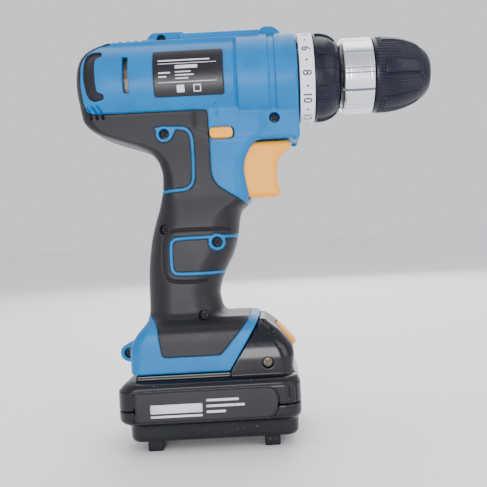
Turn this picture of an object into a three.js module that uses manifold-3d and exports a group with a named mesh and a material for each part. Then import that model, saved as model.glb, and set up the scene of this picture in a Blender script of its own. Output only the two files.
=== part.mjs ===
// Cordless drill driver: keyless chuck, torque collar, two-speed planetary gearbox and slide-on battery.
// Millimetres, +Z up. The chuck points along +X.
// The origin is under the middle of the drill, on the plane of the battery's feet.
import * as THREE from "three";
import { mergeVertices } from "three/addons/utils/BufferGeometryUtils.js";
import Module from "manifold-3d";

const wasm = await Module();
wasm.setup();

// ---------------------------------------------------------------- driving dimensions
const AXIS_Z = 174; // height of the spindle
const REAR_X = -86; // back of the motor housing
const NOSE_X = 86; // front of the chuck
const FRONT_X = 20.4; // front face of the housing
const GAP = 0.3; // between neighbouring solids
const SEAM = 0.15; // from the middle plane to the edge of each housing half
const MOTOR_R = 21.2; // outside of the housing round the motor
const GEARBOX_R = 22.5; // outside of the housing round the gearbox
const GEARBOX_X = -8.6; // where the housing steps up
const WALL = 2.3;
const SKIN = 1.5; // thickness of the soft grip
const BATTERY_BOTTOM = 4.5;
const BATTERY_SPLIT = 20;
const BATTERY_TOP = 31.6;
const BASE_BOTTOM = 35.1;
const ROUND = 32; // sides of the large round pieces
const FINE = 24;
const COARSE = 10;

// gears: module and tooth counts, the same for both stages
const MODULE = 0.7;
const SUN_TEETH = 12;
const PLANET_TEETH = 15;
const RING_TEETH = 42;
const PRESSURE = THREE.MathUtils.degToRad(20);
const BACKLASH = 0.22;
const ADDENDUM = 0.85 * MODULE;
const DEDENDUM = 1.2 * MODULE;
const ORBIT = (MODULE * (SUN_TEETH + PLANET_TEETH)) / 2;
const PIN_R = 1.5;

// chuck jaws
const JAW_ANGLE = THREE.MathUtils.degToRad(16);
const JAW_R = 3.1;
const JAW_LENGTH = 24;
const JAW_TIP_X = 72.3;
const JAW_TIP_R = 5.4;
const JAW_FACE_R = 5.2;

// handle with its switch block: [height, rear, front, half width, corner radius]
const HANDLE = [
  [50, -57, -19, 16.5, 12],
  [58.5, -58.3, -18.2, 16.6, 13],
  [63, -57.6, -21.8, 16.2, 13.5],
  [70, -57.5, -23.1, 15.8, 13.5],
  [79, -57.3, -20.2, 15.8, 13.5],
  [89, -56.3, -15, 16.2, 13.5],
  [97, -55, -12.5, 16.4, 13.5],
  [105, -52.9, -11.4, 16.2, 13.5],
  [110.5, -50.8, -10.5, 15.8, 12],
  [114, -49.5, -4.4, 15.4, 10],
  [122, -47.4, -6.4, 14.9, 7],
  [129, -47, -7.2, 14.6, 6],
  [135, -48.6, -6.2, 14.4, 6],
  [140, -52.4, -3.3, 14.2, 6],
  [143.4, -59.5, 0.5, 14.1, 6],
  [143.7, -60.5, 20, 14.1, 5],
  [149.5, -77, FRONT_X, 14.1, 5],
  [156, -84.2, FRONT_X, 14.1, 5],
  [164, REAR_X, FRONT_X, 14.1, 5],
];
const HANDLE_SPACE = [63, 79, 97, 110.5, 114, 122, 129, 135, 140, 143.4]; // heights that shape the space inside
// foot of the handle, which the battery slides under
const BASE = [
  [BASE_BOTTOM, -64.9, -18.4, 25, 6],
  [46, -64.9, -11.5, 25, 6],
  [50, -63.2, -9, 24.8, 6],
  [53, -61, -7.1, 24, 6],
  [56, -58.8, -5.3, 22, 7],
  [58.3, -57.4, -4.2, 19.5, 8],
  [59.7, -57, -6, 17, 8],
];
const BATTERY_REAR = -70.3;
const BATTERY_FRONT = 14;
const BATTERY_HALF = 31;
const LOWER_CASE = [
  [BATTERY_BOTTOM, -64.1, 10.7, 26.5, 5],
  [6, -65.6, 12.2, 28, 6],
  [12.6, -65.6, 12.2, 28, 6],
  [12.8, BATTERY_REAR, BATTERY_FRONT, BATTERY_HALF, 8],
  [BATTERY_SPLIT - SEAM, BATTERY_REAR, BATTERY_FRONT, BATTERY_HALF, 8],
];
const UPPER_CASE = [
  [BATTERY_SPLIT + SEAM, BATTERY_REAR, BATTERY_FRONT, BATTERY_HALF, 8],
  [28.9, BATTERY_REAR, BATTERY_FRONT, BATTERY_HALF, 8],
  [BATTERY_TOP, -67.6, 12.6, 29, 8],
];
// front of the battery, which fills the space ahead of the slanted base
const TOWER = [
  [30, -21, 12.4, 24, 6],
  [BASE_BOTTOM, -17.8, 11.2, 24, 6],
  [40.5, -14.4, 12, 23.6, 7],
  [44.5, -11.9, 11.5, 23.4, 8],
  [48.5, -9.4, 8.6, 22.2, 8],
  [52.5, -6.9, 5.4, 20, 5.5],
  [55.6, -4.9, 1.6, 17.5, 3],
  [57.6, -3.6, -1.9, 15, 0.7],
];

// housing screws, driven from the right: [name, x, z, depth of the head's face, length]
const SCREWS = [
  ["screw_top", -45, 195.9, 4.6, 9],
  ["screw_nose", 8.4, 153.1, 11.6, 20],
  ["screw_web", -44.9, 147.9, 11.6, 20],
  ["screw_grip_rear", -46.9, 102.2, 10.2, 18],
  ["screw_grip_front", -22, 95, 12.4, 20],
  ["screw_grip_foot", -30, 60.3, 13.2, 22],
  ["screw_ear", -68.4, 42.8, 5, 9],
];
const SCREW_HEAD_R = 2.6;
const SCREW_SHANK_R = 1.4;

// ---------------------------------------------------------------- materials
const finish = (color, roughness, metalness = 0) =>
  new THREE.MeshStandardMaterial({ color, roughness, metalness });
const BLUE = finish(0x1c78c0, 0.42);
const GRIP = finish(0x1f2026, 0.75);
const BLACK = finish(0x15161c, 0.4);
const ORANGE = finish(0xf39a52, 0.45);
const SILVER = finish(0xd5d8de, 0.25, 0.9);
const STEEL = finish(0x8d9096, 0.35, 1);
const SINTERED = finish(0x6c6e72, 0.5, 0.9);
const COPPER = finish(0xb4622f, 0.4, 0.9);
const GREY_NYLON = finish(0x8b8e90, 0.6);
const WHITE = finish(0xe9e9ec, 0.5);
const LABEL = finish(0x3a3d4c, 0.5);
const RED = finish(0xb02420, 0.5);
const CELL = finish(0x2f8f6a, 0.4);
const BOARD = finish(0x1f6a3a, 0.5);

// ---------------------------------------------------------------- solids
// A closed three.js geometry as a solid, whichever way its faces point.
function solid(geometry) {
  const flat = geometry.index ? geometry.toNonIndexed() : geometry;
  const bare = new THREE.BufferGeometry().setAttribute("position", flat.getAttribute("position"));
  const merged = mergeVertices(bare, 1e-4);
  const vertProperties = new Float32Array(merged.attributes.position.array);
  const triVerts = new Uint32Array(merged.index.array);
  const made = new wasm.Manifold(new wasm.Mesh({ numProp: 3, vertProperties, triVerts }));
  if (made.volume() > 0) return made;
  for (let i = 0; i < triVerts.length; i += 3) {
    [triVerts[i + 1], triVerts[i + 2]] = [triVerts[i + 2], triVerts[i + 1]];
  }
  return new wasm.Manifold(new wasm.Mesh({ numProp: 3, vertProperties, triVerts }));
}

// A named mesh from a solid.
function piece(name, material, made) {
  const { vertProperties, triVerts, numProp, numVert } = made.getMesh();
  const position = new Float32Array(numVert * 3);
  for (let i = 0; i < numVert; i++) {
    position.set(vertProperties.subarray(i * numProp, i * numProp + 3), i * 3);
  }
  const geometry = new THREE.BufferGeometry();
  geometry.setAttribute("position", new THREE.BufferAttribute(position, 3));
  geometry.setIndex(new THREE.BufferAttribute(triVerts, 1));
  geometry.computeVertexNormals();
  const mesh = new THREE.Mesh(geometry, material);
  mesh.name = name;
  return mesh;
}

const join = (...solids) => solids.reduce((a, b) => a.add(b));
const cut = (body, ...tools) => tools.reduce((a, b) => a.subtract(b), body);

// Box between two corners.
function box(x0, x1, y0, y1, z0, z1) {
  const geometry = new THREE.BoxGeometry(x1 - x0, y1 - y0, z1 - z0);
  return solid(geometry.translate((x0 + x1) / 2, (y0 + y1) / 2, (z0 + z1) / 2));
}

// Turned shape about an axis along X through [y, z]: the profile's points are [x, radius].
function turned(profile, sides = ROUND, [y, z] = [0, 0]) {
  const onAxis = profile[0][1] === 0 && profile.at(-1)[1] === 0;
  const outline = onAxis ? profile : [...profile, profile[0]];
  const geometry = new THREE.LatheGeometry(outline.map(([x, r]) => new THREE.Vector2(r, x)), sides);
  return solid(geometry.rotateZ(-Math.PI / 2).translate(0, y, z));
}
const onSpindle = (profile, sides = ROUND) => turned(profile, sides, [0, AXIS_Z]);
const rod = (r, x0, x1, sides = FINE, at = [0, 0]) => turned([[x0, 0], [x0, r], [x1, r], [x1, 0]], sides, at);
const tube = (r0, r1, x0, x1, sides = ROUND) => turned([[x0, r0], [x0, r1], [x1, r1], [x1, r0]], sides);

// Cylinder along Y.
function pegY(r, x, z, y0, y1, sides = COARSE) {
  const geometry = new THREE.CylinderGeometry(r, r, y1 - y0, sides);
  return solid(geometry.translate(x, (y0 + y1) / 2, z));
}

// Outline of [x, z] points, extruded along Y.
function slab(outline, y0, y1) {
  const shape = new THREE.Shape(outline.map(([x, z]) => new THREE.Vector2(x, z)));
  const geometry = new THREE.ExtrudeGeometry(shape, { depth: y1 - y0, bevelEnabled: false });
  return solid(geometry.rotateX(Math.PI / 2).translate(0, y1, 0));
}

// Outline of [y, z] points, extruded along X.
function barX(outline, x0, x1) {
  const shape = new THREE.Shape(outline.map(([y, z]) => new THREE.Vector2(y, z)));
  const geometry = new THREE.ExtrudeGeometry(shape, { depth: x1 - x0, bevelEnabled: false });
  const turn = new THREE.Matrix4().makeBasis(
    new THREE.Vector3(0, 1, 0),
    new THREE.Vector3(0, 0, 1),
    new THREE.Vector3(1, 0, 0),
  );
  return solid(geometry.applyMatrix4(turn).translate(x0, 0, 0));
}

// Rounded rectangle at one height, as points going round.
function ring(z, x0, x1, half, corner, steps = 3) {
  const r = Math.max(0.2, Math.min(corner, half - 0.1, (x1 - x0) / 2 - 0.1));
  const corners = [[x1 - r, half - r], [x0 + r, half - r], [x0 + r, r - half], [x1 - r, r - half]];
  return corners.flatMap(([x, y], quarter) =>
    Array.from({ length: steps + 1 }, (_, i) => {
      const a = (quarter + i / steps) * (Math.PI / 2);
      return [x + r * Math.cos(a), y + r * Math.sin(a), z];
    }),
  );
}

// Stack of rounded rectangles, taken in by an inset on its sides.
function loft(sections, inset = 0, steps = 3) {
  const rings = sections.map(([z, x0, x1, half, corner]) =>
    ring(z, x0 + inset, x1 - inset, half - inset, corner - inset, steps),
  );
  const count = rings[0].length;
  const faces = [];
  for (let k = 0; k + 1 < rings.length; k++) {
    for (let i = 0; i < count; i++) {
      const a = k * count + i;
      const b = k * count + ((i + 1) % count);
      faces.push(a, b, a + count, b, b + count, a + count);
    }
  }
  const top = (rings.length - 1) * count;
  for (let i = 1; i + 1 < count; i++) {
    faces.push(0, i + 1, i, top, top + i, top + i + 1);
  }
  const geometry = new THREE.BufferGeometry();
  geometry.setAttribute("position", new THREE.Float32BufferAttribute(rings.flat(2), 3));
  geometry.setIndex(faces);
  return solid(geometry);
}

// Round wire along a smooth curve.
function wire(points, r, sides, steps) {
  const path = new THREE.CatmullRomCurve3(points.map((p) => new THREE.Vector3(...p)));
  const section = new THREE.Shape(
    Array.from({ length: sides }, (_, i) => {
      const a = (i * 2 * Math.PI) / sides;
      return new THREE.Vector2(r * Math.cos(a), r * Math.sin(a));
    }),
  );
  return solid(new THREE.ExtrudeGeometry(section, { steps, extrudePath: path }));
}

// ---------------------------------------------------------------- gears
const involute = (a) => Math.tan(a) - a;
// Half the angle that a tooth of the given half thickness at the pitch circle spans at a radius.
function halfAngle(teeth, radius, play) {
  const pitch = (MODULE * teeth) / 2;
  const base = pitch * Math.cos(PRESSURE);
  const there = radius > base ? Math.acos(base / radius) : 0;
  return Math.PI / (2 * teeth) + play / (2 * pitch) + involute(PRESSURE) - involute(there);
}
// Toothed outline with a tooth at angle `phase`, as [y, z] points.
function toothed(teeth, low, high, play, phase) {
  return Array.from({ length: teeth }, (_, i) => {
    const middle = phase + (i * 2 * Math.PI) / teeth;
    const [atLow, atHigh] = [halfAngle(teeth, low, play), halfAngle(teeth, high, play)];
    return [[low, -atLow], [high, -atHigh], [high, atHigh], [low, atLow]].map(([r, a]) => [
      r * Math.cos(middle + a),
      r * Math.sin(middle + a),
    ]);
  }).flat();
}
function outerTeeth(teeth, x0, x1, phase) {
  const pitch = (MODULE * teeth) / 2;
  return barX(toothed(teeth, pitch - DEDENDUM, pitch + ADDENDUM, -BACKLASH, phase), x0, x1);
}
// The space inside an internal gear, which is a gear's shape itself.
function innerTeeth(x0, x1, phase) {
  const pitch = (MODULE * RING_TEETH) / 2;
  return barX(toothed(RING_TEETH, pitch - ADDENDUM, pitch + DEDENDUM, BACKLASH, phase), x0, x1);
}
const PLANET_ANGLES = [0, 1, 2].map((i) => Math.PI / 2 + (i * 2 * Math.PI) / 3);
const FIRST_PLANET = PLANET_ANGLES[0];
const orbitPoint = (angle) => [ORBIT * Math.cos(angle), ORBIT * Math.sin(angle)];
const pins = (x0, x1) => PLANET_ANGLES.map((a) => rod(PIN_R, x0, x1, COARSE, orbitPoint(a)));

// ---------------------------------------------------------------- housing
const RIDGE = { x0: -33.6, x1: 3.4, half: 9, top: 197.4 };
const SELECTOR_WINDOW = { x0: -19.4, x1: -9, half: 5.4 };

// Outside of the round part of the housing.
function barrel(inset) {
  const back = REAR_X + inset;
  return onSpindle([
    [back, 0], [back, 12.4 - inset / 2], [-82.2 + inset * 0.7, 17.6 - inset * 0.8], [-77 + inset * 0.4, 20.5 - inset],
    [-73, MOTOR_R - inset], [GEARBOX_X - 1, MOTOR_R - inset], [GEARBOX_X, GEARBOX_R - inset],
    [FRONT_X - 1, GEARBOX_R - inset], [FRONT_X, GEARBOX_R - 1 - inset], [FRONT_X, 0],
  ]);
}

// The whole outside of the casing, taken in by an inset.
function casing(inset) {
  const ridge = slab(
    [[RIDGE.x0, 180], [RIDGE.x1, 180], [RIDGE.x1, RIDGE.top - inset], [RIDGE.x0, RIDGE.top - inset]],
    inset - RIDGE.half, RIDGE.half - inset,
  );
  const topBoss = slab(
    [[-52.5, 185], [-34, 185], [-34.5, 198.4 - inset], [-48.4, 198.4 - inset], [-52.5, 194]],
    inset - 6, 6 - inset,
  );
  const indicator = slab(
    [[0, 185], [15, 185], [15, 196], [10.6, 200.3 - inset], [4.2, 200.3 - inset], [1.5, 197]],
    inset - 5, 5 - inset,
  );
  const lip = slab(
    [[16.9, 142.4], [18.8, 142], [FRONT_X, 144], [FRONT_X, 150], [16.9, 150]],
    inset - 12, 12 - inset,
  );
  const ear = join(pegY(4.6 - inset, -68.4, 42.8, -6, 6, FINE), box(-68.4, -60, -6, 6, 38.4 + inset, 47.2 - inset));
  return join(barrel(inset), loft(HANDLE, inset), loft(BASE, inset), ridge, topBoss, indicator, lip, ear);
}

// Side view of what the soft grip covers, with a margin for its edges.
function gripOutline(margin) {
  const m = margin;
  return [
    [-95, 158.6 - m], [-95, 201], [-69 - m, 201], [-69 - m, 193.4 + m], [-75, 192.6 + m], [-80.4 - m, 189.6 + m],
    [-83.7 - m, 184], [-83.7 - m, 158.6 - m],
    [-24.6 - m, 158.6 - m], [-23.4 - m, 157.4 - m], [-23.4 - m, 129], [-22.2 - m, 125], [-20 - m, 121.8 - m],
    [-15.4 - m, 118 - m], [-10.7, 115.2 - m], [-6.6, 111.8 - m], [0, 111.8 - m], [0, 66],
    [-8.3 - m, 60.5], [-8.3 - m, 57], [-21.4 - m, 42.5 + m], [-48.5 + m, 42.5 + m], [-49.9 + m, 44 + m],
    [-51.5 + m, 58], [-54, 60.6 + m], [-70, 60.6 + m], [-70, 100], [-95, 100],
  ];
}

// Everything that is taken out of the housing so that the works fit in.
function cavities() {
  const works = onSpindle([
    [-81.6, 0], [-81.6, 13.8], [-77.6, 17], [-73.4, 18.6], [-67, 18.6], [-67, 18.2],
    [-64, 18.2], [-64, 18.9], [-24, 18.9],
    [-24, 18.2], [-21, 18.2], [-21, 18.9], [-17, 18.9], [-15.6, 20], [18, 20], [18, 17.4], [FRONT_X + 1, 17.4],
    [FRONT_X + 1, 0],
  ], FINE);
  const handle = loft(HANDLE.filter(([z]) => HANDLE_SPACE.includes(z)), 4.2, 2);
  const web = loft([
    [142.6, -55, -9, 9.9, 3],
    [146, -62, 16.4, 9.9, 3],
    [151, -74, 17, 9.9, 3],
    [160, -78, 17.4, 9.9, 3],
  ], 0, 2);
  const trigger = box(-20, 30, -10.6, 10.6, 115.3, 143.5);
  const base = loft([[47.6, -62, -14.2, 21, 4], [54, -57.5, -11, 20, 5], [65, -53.4, -27.3, 11.5, 5]], 0, 2);
  const railHead = box(-61.6, 0, -20.5, 20.5, 38.2, 47.8);
  const railNeck = box(-61.6, 0, -17.5, 17.5, BASE_BOTTOM - 1, 39);
  const selector = box(-29, 5.6, -7.4, 7.4, 190, 196.1);
  const w = SELECTOR_WINDOW;
  const window = box(w.x0, w.x1, -w.half, w.half, 195, 200);
  const direction = box(-23.2, -11.4, -20, 20, 143.9, 149.9);
  const vents = [
    box(-61.8, -59.2, -25, 25, 167, 184),
    ...[165.4, 172.6, 179.8].map((z) => box(-80.6, -76.4, -25, 25, z, z + 3.4)),
  ];
  return [works, handle, web, trigger, base, railHead, railNeck, selector, window, direction, ...vents];
}

// Posts that the screws clamp, and the holes through them.
const posts = () =>
  join(...SCREWS.slice(1, 6).map(([, x, z, face]) => pegY(3.7, x, z, -face - 0.6, face + 0.6)))
    .intersect(casing(WALL));
function screwHoles() {
  return SCREWS.flatMap(([, x, z, face]) => [
    pegY(SCREW_HEAD_R + GAP, x, z, -40, GAP - face + 2),
    pegY(SCREW_SHANK_R + GAP, x, z, -face, face + 0.1),
  ]);
}

function housing() {
  const pocket = slab(gripOutline(-GAP), -60, 60);
  const outside = casing(0);
  const shell = outside.subtract(pocket.subtract(casing(SKIN + GAP)));
  const [works, ...rest] = cavities();
  const hollow = cut(shell, ...rest);
  const whole = cut(join(hollow, posts()), works, ...screwHoles());
  const grip = cut(
    outside.subtract(casing(SKIN)).intersect(slab(gripOutline(0), -60, 60)),
    ...SCREWS.slice(2, 6).map(([, x, z]) => pegY(SCREW_HEAD_R + 1, x, z, -40, -3)),
  );
  const right = box(-120, 60, -60, -SEAM, 0, 260);
  const left = box(-120, 60, SEAM, 60, 0, 260);
  return [
    ["housing_right", BLUE, whole.intersect(right)],
    ["housing_left", BLUE, whole.intersect(left)],
    ["grip_right", GRIP, grip.intersect(right)],
    ["grip_left", GRIP, grip.intersect(left)],
  ];
}

// Curved plate on the right side of the motor housing.
const PLATE_SPAN = [-47.4, -14.4, 164.2, 186.6];
function ratingPlate() {
  const [x0, x1, z0, z1] = PLATE_SPAN;
  const [r0, r1] = [MOTOR_R + GAP, MOTOR_R + 0.7];
  const shell = onSpindle([[x0, r0], [x0, r1], [x1, r1], [x1, r0]], 72);
  return shell.intersect(box(x0 - 1, x1 + 1, -30, 0, z0, z1));
}

const screwShape = (length) =>
  cut(
    turned([
      [0, 0], [0, SCREW_HEAD_R], [2, SCREW_HEAD_R], [2, SCREW_SHANK_R], [length - 2, SCREW_SHANK_R], [length, 0],
    ], 8),
    box(-1, 1, -1.7, 1.7, -0.35, 0.35),
    box(-1, 1, -0.35, 0.35, -1.7, 1.7),
  );

// ---------------------------------------------------------------- motor and gearbox, about the spindle axis
const motorCan = () =>
  turned([
    [-68, 13.4], [-68, 17.9], [-17.5, 17.9], [-16.2, 16.4], [-16.2, 2.2], [-19, 2.2], [-19, 15], [-56, 15], [-58, 13.4],
  ], FINE);
const motorEndBell = () =>
  join(
    turned([[-73, 2.2], [-73, 7], [-71.6, 7], [-71.6, 16.4], [-68.3, 16.4], [-68.3, 2.2]], FINE),
    box(-75.6, -71, 10.2, 11.2, -4, 0),
    box(-75.6, -71, -11.2, -10.2, -4, 0),
  );
const armature = () =>
  turned([
    [-74.6, 0], [-74.6, 1.6], [-66.5, 1.6], [-66.5, 4.6], [-60, 4.6], [-60, 8], [-56, 12.6], [-27, 12.6],
    [-25, 10], [-23, 14.2], [-21, 14.2], [-21, 1.6], [-6.4, 1.6], [-6.4, 0],
  ], 18);
const motorPinion = () => outerTeeth(SUN_TEETH, -14, -6.6, FIRST_PLANET).subtract(rod(1.9, -20, 0, COARSE));
const planetGear = (x0, x1, angle) =>
  cut(outerTeeth(PLANET_TEETH, x0, x1, angle), rod(PIN_R + GAP, x0 - 1, x1 + 1, COARSE));
const carrierFirst = () =>
  join(
    rod(12.9, -6.2, -4.4, FINE),
    outerTeeth(SUN_TEETH, -5, 5, FIRST_PLANET),
    ...pins(-13, -6),
  );
const shiftRingGear = () =>
  cut(
    turned([[-1.5, 8], [-1.5, 17.1], [1.6, 17.1], [1.6, 16.5], [3.8, 16.5], [3.8, 17.1], [5.5, 17.1], [5.5, 8]]),
    innerTeeth(-3, 7, FIRST_PLANET),
  );
const spindle = () =>
  join(
    cut(rod(5, 7, 53, FINE), rod(2.7, 43, 54, COARSE)),
    turned([[5.8, 0], [5.8, 12.9], [8.8, 12.9], [8.8, 7], [13, 7], [13, 0]], FINE),
    ...pins(-3, 6),
  );
function gearCase() {
  const shell = turned([
    [-15, 10], [-15, 18.9], [13.6, 18.9], [13.6, 12], [37, 12], [37, 9.7], [24, 9.7], [24, 7.4], [10.6, 7.4],
    [10.6, 17.4], [-6, 17.4], [-6, 10],
  ]);
  const slots = [-1, 1].map((side) => {
    const [y0, y1] = [side * 14, side * 22].sort((a, b) => a - b);
    return box(-4.6, 4.6, y0, y1, 3.6, 6.6);
  });
  return cut(shell, innerTeeth(-16, -5, FIRST_PLANET), ...slots);
}
// Band over the gear case, with a pin on each side that reaches through a slot into the groove of the ring gear.
function shiftFork() {
  const band = turned([[1.9, 19.2], [1.9, 19.8], [3.5, 19.8], [3.5, 19.2]], ROUND)
    .intersect(box(0, 5, -25, 25, 4.1, 25));
  const fingers = [-1, 1].map((side) => {
    const [y0, y1] = [side * 16.2, side * 18.9].sort((a, b) => a - b);
    return box(1.9, 3.5, y0, y1, 4.1, 5.5);
  });
  return join(band, ...fingers, box(1.4, 4, -2.5, 2.5, 19.4, 20.6));
}
const spindleBearing = () => tube(5.3, 9.4, 30, 36, FINE);
const SPRING = { x0: 14.8, x1: 25.9, r: 14.2, wire: 0.8, turns: 5 };
function clutchSpring() {
  const steps = SPRING.turns * 10;
  const points = Array.from({ length: steps + 1 }, (_, i) => {
    const a = (i / steps) * SPRING.turns * 2 * Math.PI;
    return [SPRING.x0 + (SPRING.x1 - SPRING.x0) * (i / steps), SPRING.r * Math.cos(a), SPRING.r * Math.sin(a)];
  });
  return wire(points, SPRING.wire, 5, steps);
}
const keyway = (half, low) => [-1, 1].map((side) => {
  const [z0, z1] = [side * low, side * 18.6].sort((a, b) => a - b);
  return [z0, z1, half];
});
const clutchNut = () =>
  cut(tube(12.3, 18, 27, 31), ...keyway(1.9, 16.2).map(([z0, z1, half]) => box(26, 32, -half, half, z0, z1)));
const clutchCollar = () =>
  join(
    turned([
      [21.2, 18.3], [21.2, 20.3], [28.6, 20.3], [28.6, 21.7], [33, 21.5], [36.2, 20.6], [39, 18.9], [41, 16.4],
      [41.4, 15.4], [41.4, 13], [37.7, 13], [37.7, 18.3],
    ]),
    ...keyway(1.5, 16.6).map(([z0, z1, half]) => box(22, 38, -half, half, z0, z1)),
  );
const numberRing = () => tube(20.6, 21.9, 21.2, 28.3);

// ---------------------------------------------------------------- chuck, about the spindle axis
// Cylinder on the line that a jaw slides along, at the top of the chuck.
function jawLine(r, from, to, sides = FINE) {
  const geometry = new THREE.CylinderGeometry(r, r, to - from, sides);
  geometry.rotateZ(-Math.PI / 2).translate((from + to) / 2, 0, 0);
  return solid(geometry.rotateY(JAW_ANGLE).translate(JAW_TIP_X, 0, JAW_TIP_R));
}
// The two sides of a jaw's gripping face slope back, so that three jaws can meet on the axis.
const jaw = () => {
  const shoulder = JAW_FACE_R + 1.95;
  const face = [[-0.4, JAW_FACE_R], [0.4, JAW_FACE_R], [3.6, shoulder], [3.6, 25], [-3.6, 25], [-3.6, shoulder]];
  return jawLine(JAW_R, -JAW_LENGTH, 0, 10).intersect(barX(face, 30, 95));
};
function chuckBody() {
  const body = turned([
    [42.7, 5.3], [42.7, 15.4], [46.6, 15.4], [46.6, 13], [66, 13], [75, 10.6], [80, 8.8], [84, 6.8], [84, 5.3], [57, 5.3],
    [57, 2.8], [54, 2.8], [54, 5.3],
  ], FINE);
  const channel = jawLine(JAW_R + GAP, -40, 22, 10);
  const channels = [0, 1, 2].map((i) => channel.rotate([i * 120, 0, 0]));
  return cut(body.rotate([5, 0, 0]), ...channels);
}
const chuckRearRing = () =>
  turned([[42.3, 15.8], [42.3, 17.2], [43.2, 18.4], [57.2, 18.4], [57.2, 15.8]]);
const chuckSleeve = () =>
  turned([
    [57.6, 16.3], [57.6, 18.3], [60, 18.4], [65, 18.4], [70, 17.8], [74, 16.7], [78, 15.1], [81.5, 13.2],
    [84, 11.2], [85.5, 9.3], [NOSE_X, 8.2], [NOSE_X, 5.7], [84.4, 5.7], [84.2, 7.3], [80, 9.3], [75, 12.4], [70, 14.6], [66, 16.3],
  ]);
const chuckNut = () => tube(13.6, 16, 57.9, 62.5);
const chuckScrew = () => turned([[45, 0], [45, 2.4], [57.3, 2.4], [57.3, 4.2], [59.6, 4.2], [59.6, 0]], COARSE);

// ---------------------------------------------------------------- controls
function speedSelector() {
  const plate = box(-24, 4.6, -6, 6, 194.3, 195.7);
  const knob = box(-13.8, -10, -4.6, 4.6, 195, 198.1);
  const fork = box(0.4, 4.6, -5, 5, 193.9, 195);
  return cut(join(plate, knob, fork), box(1.1, 4.3, -2.8, 2.8, 190, 194.9));
}
function directionBar() {
  const pad = [
    [-22.8, 145], [-21.6, 144.2], [-13.2, 144.2], [-11.8, 145.4],
    [-11.8, 148.4], [-13.2, 149.6], [-21.6, 149.6], [-22.8, 148.8],
  ];
  return join(slab(pad, -17.2, -13.2), slab(pad, 13.2, 17.2), box(-20, -14.6, -14, 14, 145, 149));
}
const TRIGGER = [
  [-10, 142.8], [15.2, 142.8], [16.2, 141.6], [15.6, 139.6], [12.6, 138.2], [10.2, 136], [9, 132.6], [8.4, 127.5],
  [8.9, 121.8], [10, 118.4], [9.5, 116.6], [7.6, 116], [-10, 116],
];
function trigger() {
  const outside = slab(TRIGGER, -10, 10);
  const hollow = box(-20, 5.5, -8.2, 8.2, 118, 140.8);
  return join(cut(outside, hollow), box(-13.6, 6, -3, 3, 125, 132));
}
const switchBody = () =>
  cut(
    join(box(-34, -16.4, -9, 9, 113, 140), box(-31, -19, -4, 4, 140, 143.2)),
    box(-26, -10, -3.3, 3.3, 124.7, 132.3),
  );
const LEADS = {
  wire_motor_positive: [
    [-29, 6, 140.6], [-31, 6, 145], [-37, 6.2, 151.5], [-50, 6.2, 152.6],
    [-66, 6.2, 153], [-73.6, 7.6, 157.4], [-77.4, 9.6, 166], [-76.9, 10.7, 172],
  ],
  wire_motor_negative: [
    [-29, -6, 140.6], [-31, -6, 145], [-37, -6.2, 151.5], [-50, -6.2, 152.6],
    [-66, -6.2, 153], [-73.6, -7.6, 157.4], [-77.4, -9.6, 166], [-76.9, -10.7, 172],
  ],
  wire_battery_positive: [
    [-28, 4, 112.5], [-31, 4, 105], [-35, 4, 92], [-38, 4, 76],
    [-42, 4.4, 64], [-46.6, 6, 58], [-50, 8, 54.9],
  ],
  wire_battery_negative: [
    [-28, -4, 112.5], [-31, -4, 105], [-35, -4, 92], [-38, -4, 76],
    [-42, -4.4, 64], [-46.6, -6, 58], [-50, -8, 54.9],
  ],
};
const terminalBlock = () =>
  join(
    box(-57, -46, -13, 13, 48.2, 53.6),
    ...[-9, -3, 3, 9].map((y) => box(-56.6, -47, y - 0.4, y + 0.4, 41.5, 48.6)),
  );

// ---------------------------------------------------------------- battery
const CELL_R = 9.2;
const CELL_X = [-62, 3];
const CELL_Z = 16.2;
const BATTERY_SCREW_X = -0.6;
const BATTERY_SCREW_Y = 22.2;
const BATTERY_SCREW_Z = 38;
const LABEL_SPAN = [-62, 3.6, 14.6, 28.2];
const labelRecess = () => {
  const [x0, x1, z0, z1] = LABEL_SPAN;
  return box(x0 - GAP, x1 + GAP, -BATTERY_HALF - 2, 0.7 - BATTERY_HALF, z0 - GAP, z1 + GAP);
};
function lowerCase() {
  const feet = [-54.2, -0.2].flatMap((x) =>
    [-21, 21].map((y) =>
      loft([
        [0, x - 3, x + 3, 3.6, 1],
        [1, x - 3.6, x + 3.6, 4.2, 1.4],
        [5, x - 3.6, x + 3.6, 4.2, 1.4],
      ]).translate([0, y, 0]),
    ),
  );
  const hollow = loft([
    [6.7, -63.6, 8.6, 25, 2.5],
    [12.8, -63.6, 8.6, 28.5, 2.5],
    [24, -63.6, 8.6, 28.5, 2.5],
  ], 0, 2);
  return cut(join(loft(LOWER_CASE), ...feet), labelRecess(), hollow);
}
function upperCase() {
  const tier = loft([[30, -62.3, 10, 23.4, 5], [BASE_BOTTOM - GAP, -62.3, 10, 23.4, 5]]);
  const neck = box(-60.6, -20.2, -17.1, 17.1, 34, 38.8);
  const head = box(-60.6, -17.6, -20.1, 20.1, 38.6, 46.6);
  const slots = [-9, -3, 3, 9].map((y) => box(-62, -44, y - 1, y + 1, 40, 50));
  const hollow = loft([[10, -63.6, 8.6, 28.5, 2.5], [27, -63.6, 8.6, 28.5, 2.5], [28.8, -61.5, 8, 26, 2.5]], 0, 2);
  const screws = [-1, 1].flatMap((side) => {
    const [y0, y1, y2, y3] = [11, BATTERY_SCREW_Y + GAP, BATTERY_SCREW_Y - 2 - GAP, 30].map((y) => y * side);
    return [
      pegY(SCREW_SHANK_R + GAP, BATTERY_SCREW_X, BATTERY_SCREW_Z, Math.min(y0, y1), Math.max(y0, y1)),
      pegY(SCREW_HEAD_R + GAP, BATTERY_SCREW_X, BATTERY_SCREW_Z, Math.min(y2, y3), Math.max(y2, y3)),
    ];
  });
  const whole = join(loft(UPPER_CASE), tier, neck, head, loft(TOWER));
  return cut(whole, hollow, labelRecess(), ...slots, buttonPocket(), ...screws);
}
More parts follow.
